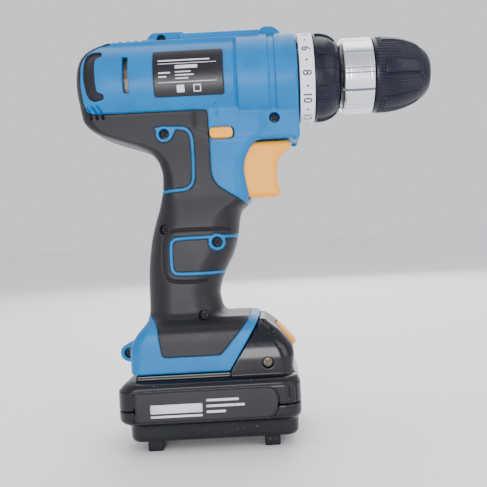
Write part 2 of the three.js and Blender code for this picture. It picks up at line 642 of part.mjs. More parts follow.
// The release button slides into the front corner of the tower, square to its slope.
const BUTTON_TURN = THREE.MathUtils.degToRad(42);
const BUTTON_AT = [7.2, 0, 47.2];
function inButtonFrame(geometry) {
  return solid(geometry.rotateY(-BUTTON_TURN).translate(...BUTTON_AT));
}
const BUTTON = { half: 8.4, along: 6.3, out: 3.1, back: -3.4, travel: 2.5 };
const buttonPocket = () => {
  const b = BUTTON;
  const depth = 8 - (b.back - b.travel - GAP);
  const geometry = new THREE.BoxGeometry(depth, 2 * (b.half + GAP), 2 * (b.along + GAP));
  return inButtonFrame(geometry.translate(8 - depth / 2, 0, 0));
};
function releaseButton() {
  const b = BUTTON;
  const block = new THREE.BoxGeometry(b.out - b.back, 2 * b.half, 2 * b.along);
  const body = inButtonFrame(block.translate((b.out + b.back) / 2, 0, 0));
  return body.intersect(loft(TOWER.map(([z, x0, x1, half, corner]) => [z, x0, x1 + 0.5, half, corner])));
}
const cell = (y) => rod(CELL_R, ...CELL_X, FINE, [y, CELL_Z]);
const batteryBoard = () => box(-60, -14, -16, 16, 26.2, 27.6);
function batteryLabel() {
  const [x0, x1, z0, z1] = LABEL_SPAN;
  return box(x0, x1, -BATTERY_HALF, 0.4 - BATTERY_HALF, z0, z1);
}

// ---------------------------------------------------------------- assembly
const drill = new THREE.Group();
const works = new THREE.Group();
works.position.z = AXIS_Z;
drill.add(works);

housing().forEach(([name, material, made]) => drill.add(piece(name, material, made)));
drill.add(piece("rating_plate", LABEL, ratingPlate()));
SCREWS.forEach(([name, x, z, face, length]) => {
  const screw = piece(name, STEEL, screwShape(length));
  screw.rotation.z = Math.PI / 2;
  screw.position.set(x, -face, z);
  drill.add(screw);
});

works.add(
  piece("motor_can", STEEL, motorCan()),
  piece("motor_end_bell", BLACK, motorEndBell()),
  piece("armature", COPPER, armature()),
  piece("motor_pinion", STEEL, motorPinion()),
  piece("gear_case", GREY_NYLON, gearCase()),
  piece("carrier_first", SINTERED, carrierFirst()),
  piece("shift_ring_gear", SINTERED, shiftRingGear()),
  piece("spindle", STEEL, spindle()),
  piece("spindle_bearing", STEEL, spindleBearing()),
  piece("shift_fork", STEEL, shiftFork()),
  piece("clutch_spring", STEEL, clutchSpring()),
  piece("clutch_nut", GREY_NYLON, clutchNut()),
  piece("clutch_collar", BLACK, clutchCollar()),
  piece("number_ring", WHITE, numberRing()),
  piece("chuck_body", STEEL, chuckBody()),
  piece("chuck_rear_ring", SILVER, chuckRearRing()),
  piece("chuck_sleeve", BLACK, chuckSleeve()),
  piece("chuck_nut", STEEL, chuckNut()),
  piece("chuck_screw", STEEL, chuckScrew()),
);
PLANET_ANGLES.forEach((angle, i) => {
  const letter = "abc"[i];
  const first = piece(`planet_first_${letter}`, SINTERED, planetGear(-13, -6.8, angle));
  const second = piece(`planet_second_${letter}`, SINTERED, planetGear(-3, 5.3, angle));
  [first, second].forEach((gear) => {
    gear.position.set(0, ...orbitPoint(angle));
    works.add(gear);
  });
  const clamp = piece(`jaw_${letter}`, STEEL, jaw());
  clamp.rotation.x = (i * 2 * Math.PI) / 3;
  works.add(clamp);
});

drill.add(
  piece("speed_selector", ORANGE, speedSelector()),
  piece("direction_bar", ORANGE, directionBar()),
  piece("trigger", ORANGE, trigger()),
  piece("switch_body", BLACK, switchBody()),
  piece("terminal_block", BLACK, terminalBlock()),
  piece("battery_upper_case", BLACK, upperCase()),
  piece("battery_lower_case", BLACK, lowerCase()),
  piece("battery_board", BOARD, batteryBoard()),
  piece("battery_label", LABEL, batteryLabel()),
  piece("release_button", ORANGE, releaseButton()),
);
Object.entries(LEADS).forEach(([name, route]) => {
  drill.add(piece(name, name.endsWith("positive") ? RED : BLACK, wire(route, 0.9, 5, 14)));
});
[-18.8, 0, 18.8].forEach((y, i) => drill.add(piece(`cell_${"abc"[i]}`, CELL, cell(y))));
[-1, 1].forEach((side) => {
  const screw = piece(side < 0 ? "battery_screw_right" : "battery_screw_left", STEEL, screwShape(10));
  screw.rotation.z = (-side * Math.PI) / 2;
  screw.position.set(BATTERY_SCREW_X, side * BATTERY_SCREW_Y, BATTERY_SCREW_Z);
  drill.add(screw);
});

export default drill;
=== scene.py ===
"""Looks of a cordless drill driver: casing with soft grips, chuck, torque collar, controls and battery.

Shapes are worked out in millimetres in the part's frame (+X forward, +Z up) and handed to Blender in metres.
"""

import math

import bmesh
import bpy
import numpy as np
from mathutils import Matrix, Vector


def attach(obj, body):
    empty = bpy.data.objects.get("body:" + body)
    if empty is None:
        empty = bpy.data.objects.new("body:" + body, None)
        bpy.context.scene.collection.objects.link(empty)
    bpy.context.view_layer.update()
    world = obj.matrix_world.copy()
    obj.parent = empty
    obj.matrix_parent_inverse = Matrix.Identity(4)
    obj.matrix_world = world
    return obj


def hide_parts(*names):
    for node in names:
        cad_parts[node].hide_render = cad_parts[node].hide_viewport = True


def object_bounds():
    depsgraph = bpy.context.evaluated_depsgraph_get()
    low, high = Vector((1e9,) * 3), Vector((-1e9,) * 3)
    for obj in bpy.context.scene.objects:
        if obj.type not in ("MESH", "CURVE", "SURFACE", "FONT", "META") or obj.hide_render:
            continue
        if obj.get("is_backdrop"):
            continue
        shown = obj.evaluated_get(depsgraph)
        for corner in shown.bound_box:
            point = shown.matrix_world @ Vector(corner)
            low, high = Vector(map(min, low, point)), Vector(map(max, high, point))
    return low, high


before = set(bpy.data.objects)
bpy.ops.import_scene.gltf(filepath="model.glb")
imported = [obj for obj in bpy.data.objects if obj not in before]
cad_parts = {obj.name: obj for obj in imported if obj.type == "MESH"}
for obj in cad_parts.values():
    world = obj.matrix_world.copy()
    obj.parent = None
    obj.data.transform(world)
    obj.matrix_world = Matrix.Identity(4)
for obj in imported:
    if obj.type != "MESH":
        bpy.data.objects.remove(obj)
cad_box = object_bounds()
MM = 0.001
CAMERA_AT, CAMERA_ROLL = (0.00375, -0.320, 0.095), math.radians(-3)  # metres

# ---------- driving dimensions, mm
AXIS_Z = 174.0  # height of the spindle
REAR_X, FRONT_X = -86.0, 20.4  # ends of the casing
MOTOR_R, GEARBOX_R = 21.2, 22.5
WINDOW_R = 18.4  # how deep the side vents reach
SCREW_HEAD_R, TOP_HEAD_R = 2.2, 1.8
BATTERY_SCREW = (-0.6, 22.2, 38)
BUTTON_AT, BUTTON_TILT = (7.2, 47.2), math.radians(42)
LABEL_Y, LABEL_THICK = -30.55, 0.12
PLATE_R, PLATE_THICK = 21.5, 0.24
RING_R, RING_X = 21.9, 24.75  # face of the number ring and the middle of its width
CLICK = 16  # degrees from one torque setting to the next
BRIGHT_RING_R = 18.4
COARSE, MEDIUM, MEDIUM_FINE, FINE, FINEST = 0.5, 0.42, 0.34, 0.3, 0.16  # cell sizes of the meshed fields
BLOCK = 8  # cells along one side of a block of a meshed field
BATCH = 400  # blocks worked out at a time
REACH = 2.4 * 6.93  # half a block's diagonal in cells, with room for fields that read too far

# handle: height, rear, front, half width, corner radius
HANDLE = np.array([
    [44, -56, -20, 16.5, 12], [58.5, -57.9, -18.2, 16.6, 13], [63, -57.6, -21.8, 16.2, 13.5],
    [70, -57.5, -23.1, 15.8, 13.5], [76, -57.4, -21.6, 15.8, 13.5], [82, -57.1, -18.9, 15.9, 13.5],
    [89, -56.3, -15, 16.2, 13.5], [97, -55, -12.5, 16.4, 13.5], [105, -52.9, -11.4, 16.2, 13.5],
    [110, -51, -10.2, 15.8, 12], [114, -49.5, -4.9, 15.4, 10], [117, -48.5, -4.6, 15.1, 8],
    [122, -47.4, -6.0, 14.9, 7], [129, -47, -7.2, 14.6, 6], [135, -48.6, -6.2, 14.4, 6],
    [140, -52.4, -3.3, 14.2, 6], [143.7, -60.5, 0.5, 14.1, 6], [146, -68, 3, 14.1, 5],
    [149.5, -77, 5, 14.1, 5], [152, -80.6, 5, 14.1, 5], [156, -84.2, 5, 14.1, 6], [164, REAR_X, 5, 14.1, 8],
    [172, REAR_X, 5, 12, 8]], float)
BASE = np.array([
    [35.1, -64.9, -8, 25, 6], [46, -64.9, -2, 25, 6], [50, -63.6, 0, 25, 6], [54, -61, 1, 24.6, 6],
    [56.6, -58.6, 0, 22.8, 7], [58.5, -57.4, -2, 19.5, 8], [59.7, -57, -5, 17, 8]], float)
SCREWS = {  # name: x, z and how far its head stands from the middle plane
    "screw_top": (-45, 195.9, 4.6), "screw_nose": (8.4, 153.1, 11.6), "screw_web": (-44.9, 147.9, 11.6),
    "screw_grip_rear": (-46.9, 102.2, 10.2), "screw_grip_front": (-22, 95, 12.4),
    "screw_grip_foot": (-30, 60.3, 13.2), "screw_ear": (-68.4, 42.8, 5)}

# openings: x from, x to, half width, z from, z to, corner radius
TRIGGER_CAVITY = (-18, 40, 10.5, 115.3, 143.4, 0.8)
SELECTOR_SLOT = (-19.4, -9, 5.4, 194.1, 205, 0.8)
RAIL_SLOT = (-61.6, 20, 20.5, 38.2, 47.8, 0.4)
TONGUE_SLOT = (-61.6, 20, 17.5, 20, 39, 0.4)
TOP_SLITS = (-66.2, -62.4, -58.6, -54.8)
# battery's top: the deck, its tongue and the rails that slide into the casing
DECK = (-62.3, 10, 23.4, 28, 34.8, 0.8)
TONGUE = (-60.6, -18, 17.1, 33, 40, 0.4)
RAILS = (-60.6, -14, 20.1, 38.6, 46.6, 0.8)
CONTACT_SLOTS = (-9, -3, 3, 9)


# ---------- flat outlines
def chaikin(points, closed=True, times=3, share=0.25):
    """Rounds an outline's corners by cutting them again and again."""
    p = np.asarray(points, float)
    for _ in range(times):
        q = np.roll(p, -1, 0) if closed else p[1:]
        a = p if closed else p[:-1]
        cut = np.stack([a + (q - a) * share, q + (a - q) * share], 1).reshape(-1, 2)
        p = cut if closed else np.vstack([p[:1], cut, p[-1:]])
        share = 0.25
    return p


def fillet(points, radius, steps=5, closed=False):
    """Outline with its corners turned into small curves; radius is one number or one for each corner."""
    p = np.asarray(points, float)
    n = len(p)
    radii = np.broadcast_to(radius, (n,))
    out = []
    for i in range(n):
        if not closed and i in (0, n - 1):
            out.append(p[i])
            continue
        a, b, c = p[i - 1], p[i], p[(i + 1) % n]
        la, lc = np.linalg.norm(a - b), np.linalg.norm(c - b)
        r = min(radii[i], 0.45 * la, 0.45 * lc)
        start, end = b + (a - b) / la * r, b + (c - b) / lc * r
        for t in np.linspace(0, 1, steps + 1):
            out.append((1 - t) ** 2 * start + 2 * t * (1 - t) * b + t * t * end)
    return np.array(out)


def to_segments(u, v, points, closed):
    """Distance from each (u, v) to an outline, and whether it is inside."""
    p = np.asarray(points, float)
    ends = np.roll(p, -1, 0) if closed else p[1:]
    best = np.full(u.shape, 1e9)
    inside = np.zeros(u.shape, bool)
    for (ax, ay), (bx, by) in zip(p if closed else p[:-1], ends):
        dx, dy = bx - ax, by - ay
        t = np.clip(((u - ax) * dx + (v - ay) * dy) / max(dx * dx + dy * dy, 1e-12), 0, 1)
        best = np.minimum(best, (u - ax - t * dx) ** 2 + (v - ay - t * dy) ** 2)
        if closed:
            crosses = (ay > v) != (by > v)
            safe = dy if dy else 1e-12
            inside ^= crosses & (u < ax + (v - ay) / safe * dx)
    return np.sqrt(best), inside


class Map:
    """Signed distance to an outline, kept on a grid and read between its points; negative is inside."""

    def __init__(self, points, closed=True, grow=0.0, step=0.2, margin=7.0):
        p = np.asarray(points, float)
        self.step = step
        self.lo = p.min(0) - margin
        n = np.ceil((p.max(0) + margin - self.lo) / step).astype(int) + 2
        u = (self.lo[0] + step * np.arange(n[0]))[:, None] + np.zeros(n[1])
        v = (self.lo[1] + step * np.arange(n[1]))[None, :] + np.zeros((n[0], 1))
        distance, inside = to_segments(u, v, p, closed)
        self.grid = np.where(inside, -distance, distance) - grow

    def __call__(self, u, v):
        g = self.grid
        a = (u - self.lo[0]) / self.step
        b = (v - self.lo[1]) / self.step
        ca, cb = np.clip(a, 0, g.shape[0] - 1.001), np.clip(b, 0, g.shape[1] - 1.001)
        i, j = ca.astype(int), cb.astype(int)
        s, t = ca - i, cb - j
        near = g[i, j] * (1 - s) + g[i + 1, j] * s
        far = g[i, j + 1] * (1 - s) + g[i + 1, j + 1] * s
        return near * (1 - t) + far * t + np.hypot(a - ca, b - cb) * self.step


def rounded(points, radius):
    """Map of a closed outline with rounded corners."""
    return Map(fillet(points, radius, closed=True))


# ---------- solid fields, negative inside
def smin(a, b, k):
    """Union of two fields, blended over k."""
    h = np.clip(0.5 + 0.5 * (b - a) / k, 0, 1)
    return b + (a - b) * h - k * h * (1 - h)


def smax(a, b, k):
    """Intersection of two fields, blended over k."""
    return -smin(-a, -b, k)


def box2(u, v, hu, hv, r):
    """Rounded rectangle of half sizes hu and hv."""
    a, b = np.abs(u) - hu + r, np.abs(v) - hv + r
    return np.hypot(np.maximum(a, 0), np.maximum(b, 0)) + np.minimum(np.maximum(a, b), 0) - r


def block(x, y, z, x0, x1, half, z0, z1, r):
    """Rounded box, the same on both sides of the middle plane."""
    a = np.abs(x - (x0 + x1) / 2) - (x1 - x0) / 2 + r
    b = np.abs(y) - half + r
    c = np.abs(z - (z0 + z1) / 2) - (z1 - z0) / 2 + r
    out = np.sqrt(np.maximum(a, 0) ** 2 + np.maximum(b, 0) ** 2 + np.maximum(c, 0) ** 2)
    return out + np.minimum(np.maximum(np.maximum(a, b), c), 0) - r


def slab(flat, across, half, r):
    """Flat outline's distance made into a plate of the given half thickness, with rounded edges."""
    a, b = flat + r, np.abs(across) - half + r
    return np.hypot(np.maximum(a, 0), np.maximum(b, 0)) + np.minimum(np.maximum(a, b), 0) - r


class Loft:
    """Rounded rectangles that change smoothly with height."""

    def __init__(self, rows, blur=1.2):
        self.z = np.arange(rows[0, 0], rows[-1, 0] + 0.01, 0.2)
        weights = np.exp(-0.5 * (np.arange(-20, 21) * 0.2 / blur) ** 2)
        weights /= weights.sum()
        self.columns = []
        for c in range(1, 5):
            line = np.interp(self.z, rows[:, 0], rows[:, c])
            self.columns.append(np.convolve(np.pad(line, 20, "edge"), weights, "valid"))
        self.ends = rows[0, 0], rows[-1, 0]

    def __call__(self, x, y, z, cap=1.2):
        rear, front, half, corner = (np.interp(z, self.z, c) for c in self.columns)
        side = box2(x - (rear + front) / 2, y, (front - rear) / 2, half, np.maximum(corner, 0.5))
        low, high = self.ends
        return smax(side, np.abs(z - (low + high) / 2) - (high - low) / 2, cap)


def groove(distance, width, depth):
    """How far a V groove sinks the surface at a distance from its middle line."""
    return depth * np.clip(1 - np.abs(distance) / width, 0, 1)


def surface(field, lo, hi, step):
    """Meshes the zero level of a field, looking only into the blocks of cells where it may pass."""
    lo, hi = np.asarray(lo, float), np.asarray(hi, float)
    count = np.ceil((hi - lo) / (BLOCK * step)).astype(int)
    index = np.stack(np.meshgrid(*[np.arange(c) for c in count], indexing="ij"), -1).reshape(-1, 3)
    middle = lo + (index * BLOCK + BLOCK / 2) * step
    index = index[np.abs(field(*middle.T)) < REACH * step]
    ramp = np.arange(BLOCK + 1)
    local = np.stack(np.meshgrid(ramp, ramp, ramp, indexing="ij"), -1)
    values = np.empty((len(index), *local.shape[:3]), np.float32)
    for s in range(0, len(index), BATCH):
        part = lo + (index[s:s + BATCH, None, None, None] * BLOCK + local) * step
        values[s:s + BATCH] = field(part[..., 0], part[..., 1], part[..., 2])
    inside = values < 0
    corners = [(a, b, c) for a in (0, 1) for b in (0, 1) for c in (0, 1)]
    total = sum(inside[:, a:a + BLOCK, b:b + BLOCK, c:c + BLOCK].astype(np.int8) for a, b, c in corners)
    which = np.argwhere((total > 0) & (total < len(corners)))
    cell = index[which[:, 0]] * BLOCK + which[:, 1:]
    span = count * BLOCK + 2

    def key(c):
        return (c[:, 0] * span[1] + c[:, 1]) * span[2] + c[:, 2]

    block_at, *cell_at = which.T
    at = {k: values[block_at, cell_at[0] + k[0], cell_at[1] + k[1], cell_at[2] + k[2]] for k in corners}
    spot, crossings = np.zeros((len(which), 3)), np.zeros(len(which))
    for k in corners:
        for axis in range(3):
            if k[axis]:
                continue
            other = tuple(1 if i == axis else v for i, v in enumerate(k))
            a, b = at[k], at[other]
            hit = (a < 0) != (b < 0)
            t = np.where(hit, a / np.where(a == b, 1, a - b), 0)
            point = np.tile(np.array(k, float), (len(which), 1))
            point[:, axis] = t
            spot[hit] += point[hit]
            crossings += hit
    vertices = lo + (cell + spot / crossings[:, None]) * step
    keys = key(cell)
    order = np.argsort(keys)
    ordered = keys[order]
    quads = []
    for axis in range(3):
        here = inside[:, :BLOCK, :BLOCK, :BLOCK]
        sel = [slice(None)] + [slice(1, BLOCK + 1) if i == axis else slice(0, BLOCK) for i in range(3)]
        there = inside[tuple(sel)]
        edge = np.argwhere(here != there)
        base = index[edge[:, 0]] * BLOCK + edge[:, 1:]
        going_out = here[edge[:, 0], edge[:, 1], edge[:, 2], edge[:, 3]]
        u, v = np.eye(3, dtype=int)[(axis + 1) % 3], np.eye(3, dtype=int)[(axis + 2) % 3]
        found, ok = [], np.ones(len(base), bool)
        for move in (-u - v, -v, 0 * u, -u):
            wanted = key(base + move)
            place = np.clip(np.searchsorted(ordered, wanted), 0, len(ordered) - 1)
            ok &= (ordered[place] == wanted) & ((base + move) >= 0).all(1)
            found.append(order[place])
        q = np.stack(found, 1)
        q = np.where(going_out[:, None], q, q[:, ::-1])
        quads.append(q[ok])
    quads = np.concatenate(quads)
    triangles = np.concatenate([quads[:, [0, 1, 2]], quads[:, [0, 2, 3]]])
    return settle(field, vertices, step), triangles


def slope(field, v, e=0.03):
    """Direction and steepness of a field at points."""
    out = np.empty_like(v)
    for axis in range(3):
        step = np.zeros(3)
        step[axis] = e
        out[:, axis] = (field(*(v + step).T) - field(*(v - step).T)) / (2 * e)
    return out


def settle(field, v, step, times=3):
    """Moves points onto the zero level."""
    for _ in range(times):
        g = slope(field, v)
        move = field(*v.T)[:, None] * g / np.maximum((g * g).sum(1), 0.05)[:, None]
        size = np.linalg.norm(move, axis=1)[:, None]
        v = v - move * np.minimum(1, 0.7 * step / np.maximum(size, 1e-9))
    return v


def split(v, t, m):
    """Cuts a mesh where m is zero into (vertices, triangles where m > 0, the other triangles)."""
    m = np.where(np.abs(m) < 1e-6, 1e-6, m)
    positive = (m > 0)[t].sum(1)
    mixed = t[(positive == 1) | (positive == 2)]
    up = (m > 0)[mixed]
    lone = np.where(up.sum(1) == 1, np.argmax(up, 1), np.argmin(up, 1))
    rows = np.arange(len(mixed))
    a, b, c = (mixed[rows, (lone + k) % 3] for k in range(3))
    pairs = np.sort(np.concatenate([np.stack([a, b], 1), np.stack([a, c], 1)]), 1)
    unique, inverse = np.unique(pairs, axis=0, return_inverse=True)
    inverse = inverse.reshape(-1)
    share = m[unique[:, 0]] / (m[unique[:, 0]] - m[unique[:, 1]])
    added = v[unique[:, 0]] + (v[unique[:, 1]] - v[unique[:, 0]]) * share[:, None]
    ab, ac = inverse[:len(a)] + len(v), inverse[len(a):] + len(v)
    tip = np.stack([a, ab, ac], 1)
    rest = np.concatenate([np.stack([ab, b, c], 1), np.stack([ab, c, ac], 1)])
    tip_up = m[a] > 0
    both = np.concatenate([tip_up, tip_up])
    over = np.concatenate([t[positive == 3], tip[tip_up], rest[~both]])
    under = np.concatenate([t[positive == 0], tip[~tip_up], rest[both]])
    return np.vstack([v, added]), over, under


def compact(v, t):
    """Drops the vertices that no triangle uses."""
    used, inverse = np.unique(t, return_inverse=True)
    return v[used], inverse.reshape(-1, 3)


# ---------- Blender meshes
def add_mesh(name, v, faces, materials, index=None, normals=None):
    """A named object from vertices in millimetres and faces of three or four corners."""
    mesh = bpy.data.meshes.new(name)
    v = np.asarray(v, np.float32) * MM
    faces = np.asarray(faces, np.int32)
    corners = faces.shape[1]
    mesh.vertices.add(len(v))
    mesh.vertices.foreach_set("co", v.ravel())
    mesh.loops.add(faces.size)
    mesh.loops.foreach_set("vertex_index", faces.ravel())
    mesh.polygons.add(len(faces))
    mesh.polygons.foreach_set("loop_start", np.arange(len(faces), dtype=np.int32) * corners)
    mesh.polygons.foreach_set("use_smooth", np.ones(len(faces), bool))
    for material in materials:
        mesh.materials.append(material)
    if index is not None:
        mesh.polygons.foreach_set("material_index", np.asarray(index, np.int32))
    mesh.update(calc_edges=True)
    if normals is not None:
        size = np.linalg.norm(normals, axis=1, keepdims=True)
        mesh.normals_split_custom_set_from_vertices((normals / np.maximum(size, 1e-9)).tolist())
    obj = bpy.data.objects.new(name, mesh)
    bpy.context.scene.collection.objects.link(obj)
    return obj


def piece(obj, body, nodes=(), slot=None):
    """Ties an object to its moving body and hides the CAD nodes it stands for; slot is not used."""
    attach(obj, body)
    if nodes:
        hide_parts(*nodes)
    return obj


def shaped(name, field, lo, hi, step, material, body, nodes=(), slot=None):
    """A closed piece from a field."""
    v, t = surface(field, lo, hi, step)
    obj = add_mesh(name, v, t, [material], normals=slope(field, v))
    return piece(obj, body, nodes, slot)


def grid_faces(rows, columns, closed_rows, closed_columns):
    """Quads of a grid of points whose rows or columns may run round."""
    r = np.arange(rows if closed_rows else rows - 1)
    c = np.arange(columns if closed_columns else columns - 1)
    i, j = np.meshgrid(r, c, indexing="ij")
    i2, j2 = (i + 1) % rows, (j + 1) % columns
    quads = np.stack([i * columns + j, i * columns + j2, i2 * columns + j2, i2 * columns + j], -1)
    return quads.reshape(-1, 4)


def resample(points, spacing):
    """Closed outline with points no farther apart than the spacing."""
    p = np.asarray(points, float)
    out = []
    for a, b in zip(p, np.roll(p, -1, 0)):
        n = max(1, int(math.ceil(np.linalg.norm(b - a) / spacing)))
        out.extend(a + (b - a) * k / n for k in range(n))
    return np.array(out)


def lathe(name, profile, sides, materials, spacing, carve=None, pick=None):
    """Closed profile turned about the spindle.

    carve(x, r, angle) gives the radius and pick the material's index; the angle is 0 at -Y and 90 at the top.
    """
    p = resample(profile, spacing)
    angle = np.arange(sides) * 2 * math.pi / sides
    x = np.repeat(p[:, 0], sides)
    r = np.repeat(p[:, 1], sides)
    a = np.tile(angle, len(p))
    if carve:
        r = carve(x, r, a)
    v = np.stack([x, -r * np.cos(a), AXIS_Z + r * np.sin(a)], 1)
    faces = grid_faces(len(p), sides, True, True)
    a0, a1, a2 = (v[faces[:, k]] for k in range(3))
    if np.einsum("ij,ij->", a0 - [0, 0, AXIS_Z], np.cross(a1 - a0, a2 - a0)) < 0:
        faces = faces[:, ::-1]
    index = pick(x, r, a)[faces[:, 0]] if pick else None
    return add_mesh(name, v, faces, materials, index)


# ---------- materials
class Nodes:
    """Short hand for building a material's node tree."""

    def __init__(self, name):
        self.material = bpy.data.materials.new(name)
        self.material.use_nodes = True
        self.tree = self.material.node_tree
        self.bsdf = self.tree.nodes["Principled BSDF"]
        self.place = self.tree.nodes.new("ShaderNodeTexCoord").outputs["Object"]

    def node(self, kind, **values):
        made = self.tree.nodes.new(kind)
        for key, value in values.items():
            if key in made.inputs:
                made.inputs[key].default_value = value
            else:
                setattr(made, key, value)
        return made

    def link(self, a, b):
        self.tree.links.new(a, b)

    def scaled(self, scale):
        m = self.node("ShaderNodeMapping")
        m.inputs["Scale"].default_value = scale
        self.link(self.place, m.inputs["Vector"])
        return m.outputs["Vector"]

    def noise(self, scale, detail=3.0, rough=0.6, stretch=None):
        n = self.node("ShaderNodeTexNoise", Scale=scale, Detail=detail, Roughness=rough)
        self.link(self.scaled(stretch) if stretch else self.place, n.inputs["Vector"])
        return n.outputs["Fac"]

    def ramp(self, value, low, high, a, b):
        n = self.node("ShaderNodeMapRange")
        n.inputs["From Min"].default_value, n.inputs["From Max"].default_value = low, high
        n.inputs["To Min"].default_value, n.inputs["To Max"].default_value = a, b
        self.link(value, n.inputs["Value"])
        return n.outputs["Result"]

    def mix(self, share, a, b):
        n = self.node("ShaderNodeMix", data_type="RGBA")
        self.link(share, n.inputs["Factor"])
        for value, socket in ((a, n.inputs["A"]), (b, n.inputs["B"])):
            if isinstance(value, tuple):
                socket.default_value = value
            else:
                self.link(value, socket)
        return n.outputs["Result"]

    def math(self, operation, a, b):
        n = self.node("ShaderNodeMath", operation=operation)
        for value, socket in ((a, n.inputs[0]), (b, n.inputs[1])):
            if isinstance(value, (int, float)):
                socket.default_value = value
            else:
                self.link(value, socket)
        return n.outputs[0]

    def bump(self, height, distance, strength=1.0, after=None):
        n = self.node("ShaderNodeBump", Strength=strength, Distance=distance)
        self.link(height, n.inputs["Height"])
        if after:
            self.link(after, n.inputs["Normal"])
        return n.outputs["Normal"]


def linear(*rgb):
    """Screen colour, 0 to 255, as the linear colour a shader takes."""
    return tuple(c / 255 / 12.92 if c <= 10 else ((c / 255 + 0.055) / 1.055) ** 2.4 for c in rgb) + (1.0,)


def moulded(name, colour, rough, grain=2600, grain_depth=1.2e-5, tint=0.9, scratch=0.06, dust=0.0, coat=0.0,
            soft=0.0, shine=0.5):
    """Moulded plastic or rubber: fine grain, blotches of wear, hairline scratches and a little dust."""
    m = Nodes(name)
    worn = m.noise(38, 4, 0.65)
    fine = m.noise(grain, 2, 0.7)
    hair = m.noise(240, 3, 0.75, (1, 0.25, 9))
    hair_mark = m.ramp(hair, 0.62, 0.7, 0, 1)
    dark = tuple(c * tint for c in colour[:3]) + (1,)
    light = tuple(min(1, c * (2 - tint) + 0.004) for c in colour[:3]) + (1,)
    base = m.mix(m.ramp(worn, 0.3, 0.7, 0, 1), dark, light)
    if dust:
        specks = m.ramp(m.noise(900, 2, 0.5), 0.7, 0.76, 0, dust)
        base = m.mix(specks, base, linear(190, 185, 180))
    m.link(base, m.bsdf.inputs["Base Color"])
    uneven = m.ramp(worn, 0.25, 0.75, rough - 0.06, rough + 0.07)
    m.link(m.math("ADD", uneven, m.math("MULTIPLY", hair_mark, scratch)), m.bsdf.inputs["Roughness"])
    normal = m.bump(fine, grain_depth)
    normal = m.bump(hair_mark, 4e-6, 0.5, normal)
    m.link(normal, m.bsdf.inputs["Normal"])
    m.bsdf.inputs["Specular IOR Level"].default_value = shine
    m.bsdf.inputs["Coat Weight"].default_value = coat
    m.bsdf.inputs["Coat Roughness"].default_value = 0.12
    m.bsdf.inputs["Sheen Weight"].default_value = soft
    m.bsdf.inputs["Sheen Roughness"].default_value = 0.5
    return m.material


def turned_metal(name, colour, rough, lines=0.6, across=(900, 6, 6)):
    """Machined or plated metal with fine tool marks round its axis."""
    m = Nodes(name)
    marks = m.noise(1.0, 3, 0.6, tuple(across))
    smear = m.noise(30, 4, 0.6)
    dark = tuple(c * 0.8 for c in colour[:3]) + (1,)
    m.link(m.mix(m.ramp(smear, 0.3, 0.75, 0, 1), colour, dark), m.bsdf.inputs["Base Color"])
    uneven = m.ramp(m.math("ADD", marks, smear), 0.6, 1.4, rough - 0.08, rough + 0.12)
    m.link(uneven, m.bsdf.inputs["Roughness"])
    m.link(m.bump(marks, 6e-6, lines), m.bsdf.inputs["Normal"])
    m.bsdf.inputs["Metallic"].default_value = 1.0
    return m.material


BLUE = moulded("blue_plastic", linear(0, 106, 168), 0.36, tint=0.86, scratch=0.08, shine=0.2)
GRIP = moulded("soft_grip", linear(14, 14, 22), 0.44, shine=0.32, grain=1500, grain_depth=3.2e-5, tint=0.86,
               soft=0.03, dust=0.08)
ORANGE = moulded("orange_plastic", linear(255, 166, 36), 0.42, tint=0.94, shine=0.35)
CHUCK = moulded("chuck_black", linear(4, 7, 30), 0.32, shine=0.28, grain=2200, tint=0.8, dust=0.15)
GLOSS = moulded("battery_black", linear(4, 5, 17), 0.2, shine=0.3, grain=3200, grain_depth=5e-6, tint=0.8,
                scratch=0.16, dust=0.2, coat=0.15)
SATIN = moulded("battery_panel", linear(20, 18, 27), 0.42, shine=0.35, grain=2400, tint=0.88, dust=0.15)
LABEL = moulded("label_film", linear(16, 14, 24), 0.34, shine=0.35, grain=3000, grain_depth=4e-6, tint=0.88)
PRINT = moulded("white_print", linear(205, 205, 215), 0.55, grain=1500, grain_depth=3e-6, tint=0.9)
RING = moulded("ring_white", linear(225, 225, 234), 0.45, tint=0.96)
INK = moulded("dark_ink", linear(40, 34, 60), 0.5, tint=0.8)
INNER = moulded("inner_black", linear(26, 26, 32), 0.6, tint=0.8)
NYLON = moulded("grey_nylon", linear(120, 122, 126), 0.6, tint=0.9)
SLEEVE = moulded("cell_sleeve", linear(40, 130, 100), 0.35, tint=0.9)
BOARD = moulded("circuit_board", linear(20, 92, 52), 0.45, tint=0.85)
RED = moulded("red_wire", linear(170, 30, 26), 0.45, tint=0.85)
SILVER = turned_metal("bright_ring", (0.8, 0.81, 0.85, 1), 0.22, 0.2)
# painted shade: a dark metal for the floors of the bright ring's grooves
PAINTED_GROOVE_SHADE = turned_metal("painted_groove_shade", (0.2, 0.21, 0.26, 1), 0.45, 0.4)
STEEL = turned_metal("steel", (0.46, 0.46, 0.48, 1), 0.34)
ZINC = turned_metal("zinc", (0.5, 0.49, 0.47, 1), 0.42, 0.8, (300, 300, 300))
SCREW = turned_metal("dark_screw", (0.055, 0.055, 0.06, 1), 0.5, 0.4, (300, 300, 300))
CAN = turned_metal("motor_steel", (0.2, 0.17, 0.14, 1), 0.5, 1.0, (260, 900, 900))
COPPER = turned_metal("winding", (0.62, 0.28, 0.13, 1), 0.4, 1.0, (200, 2500, 2500))


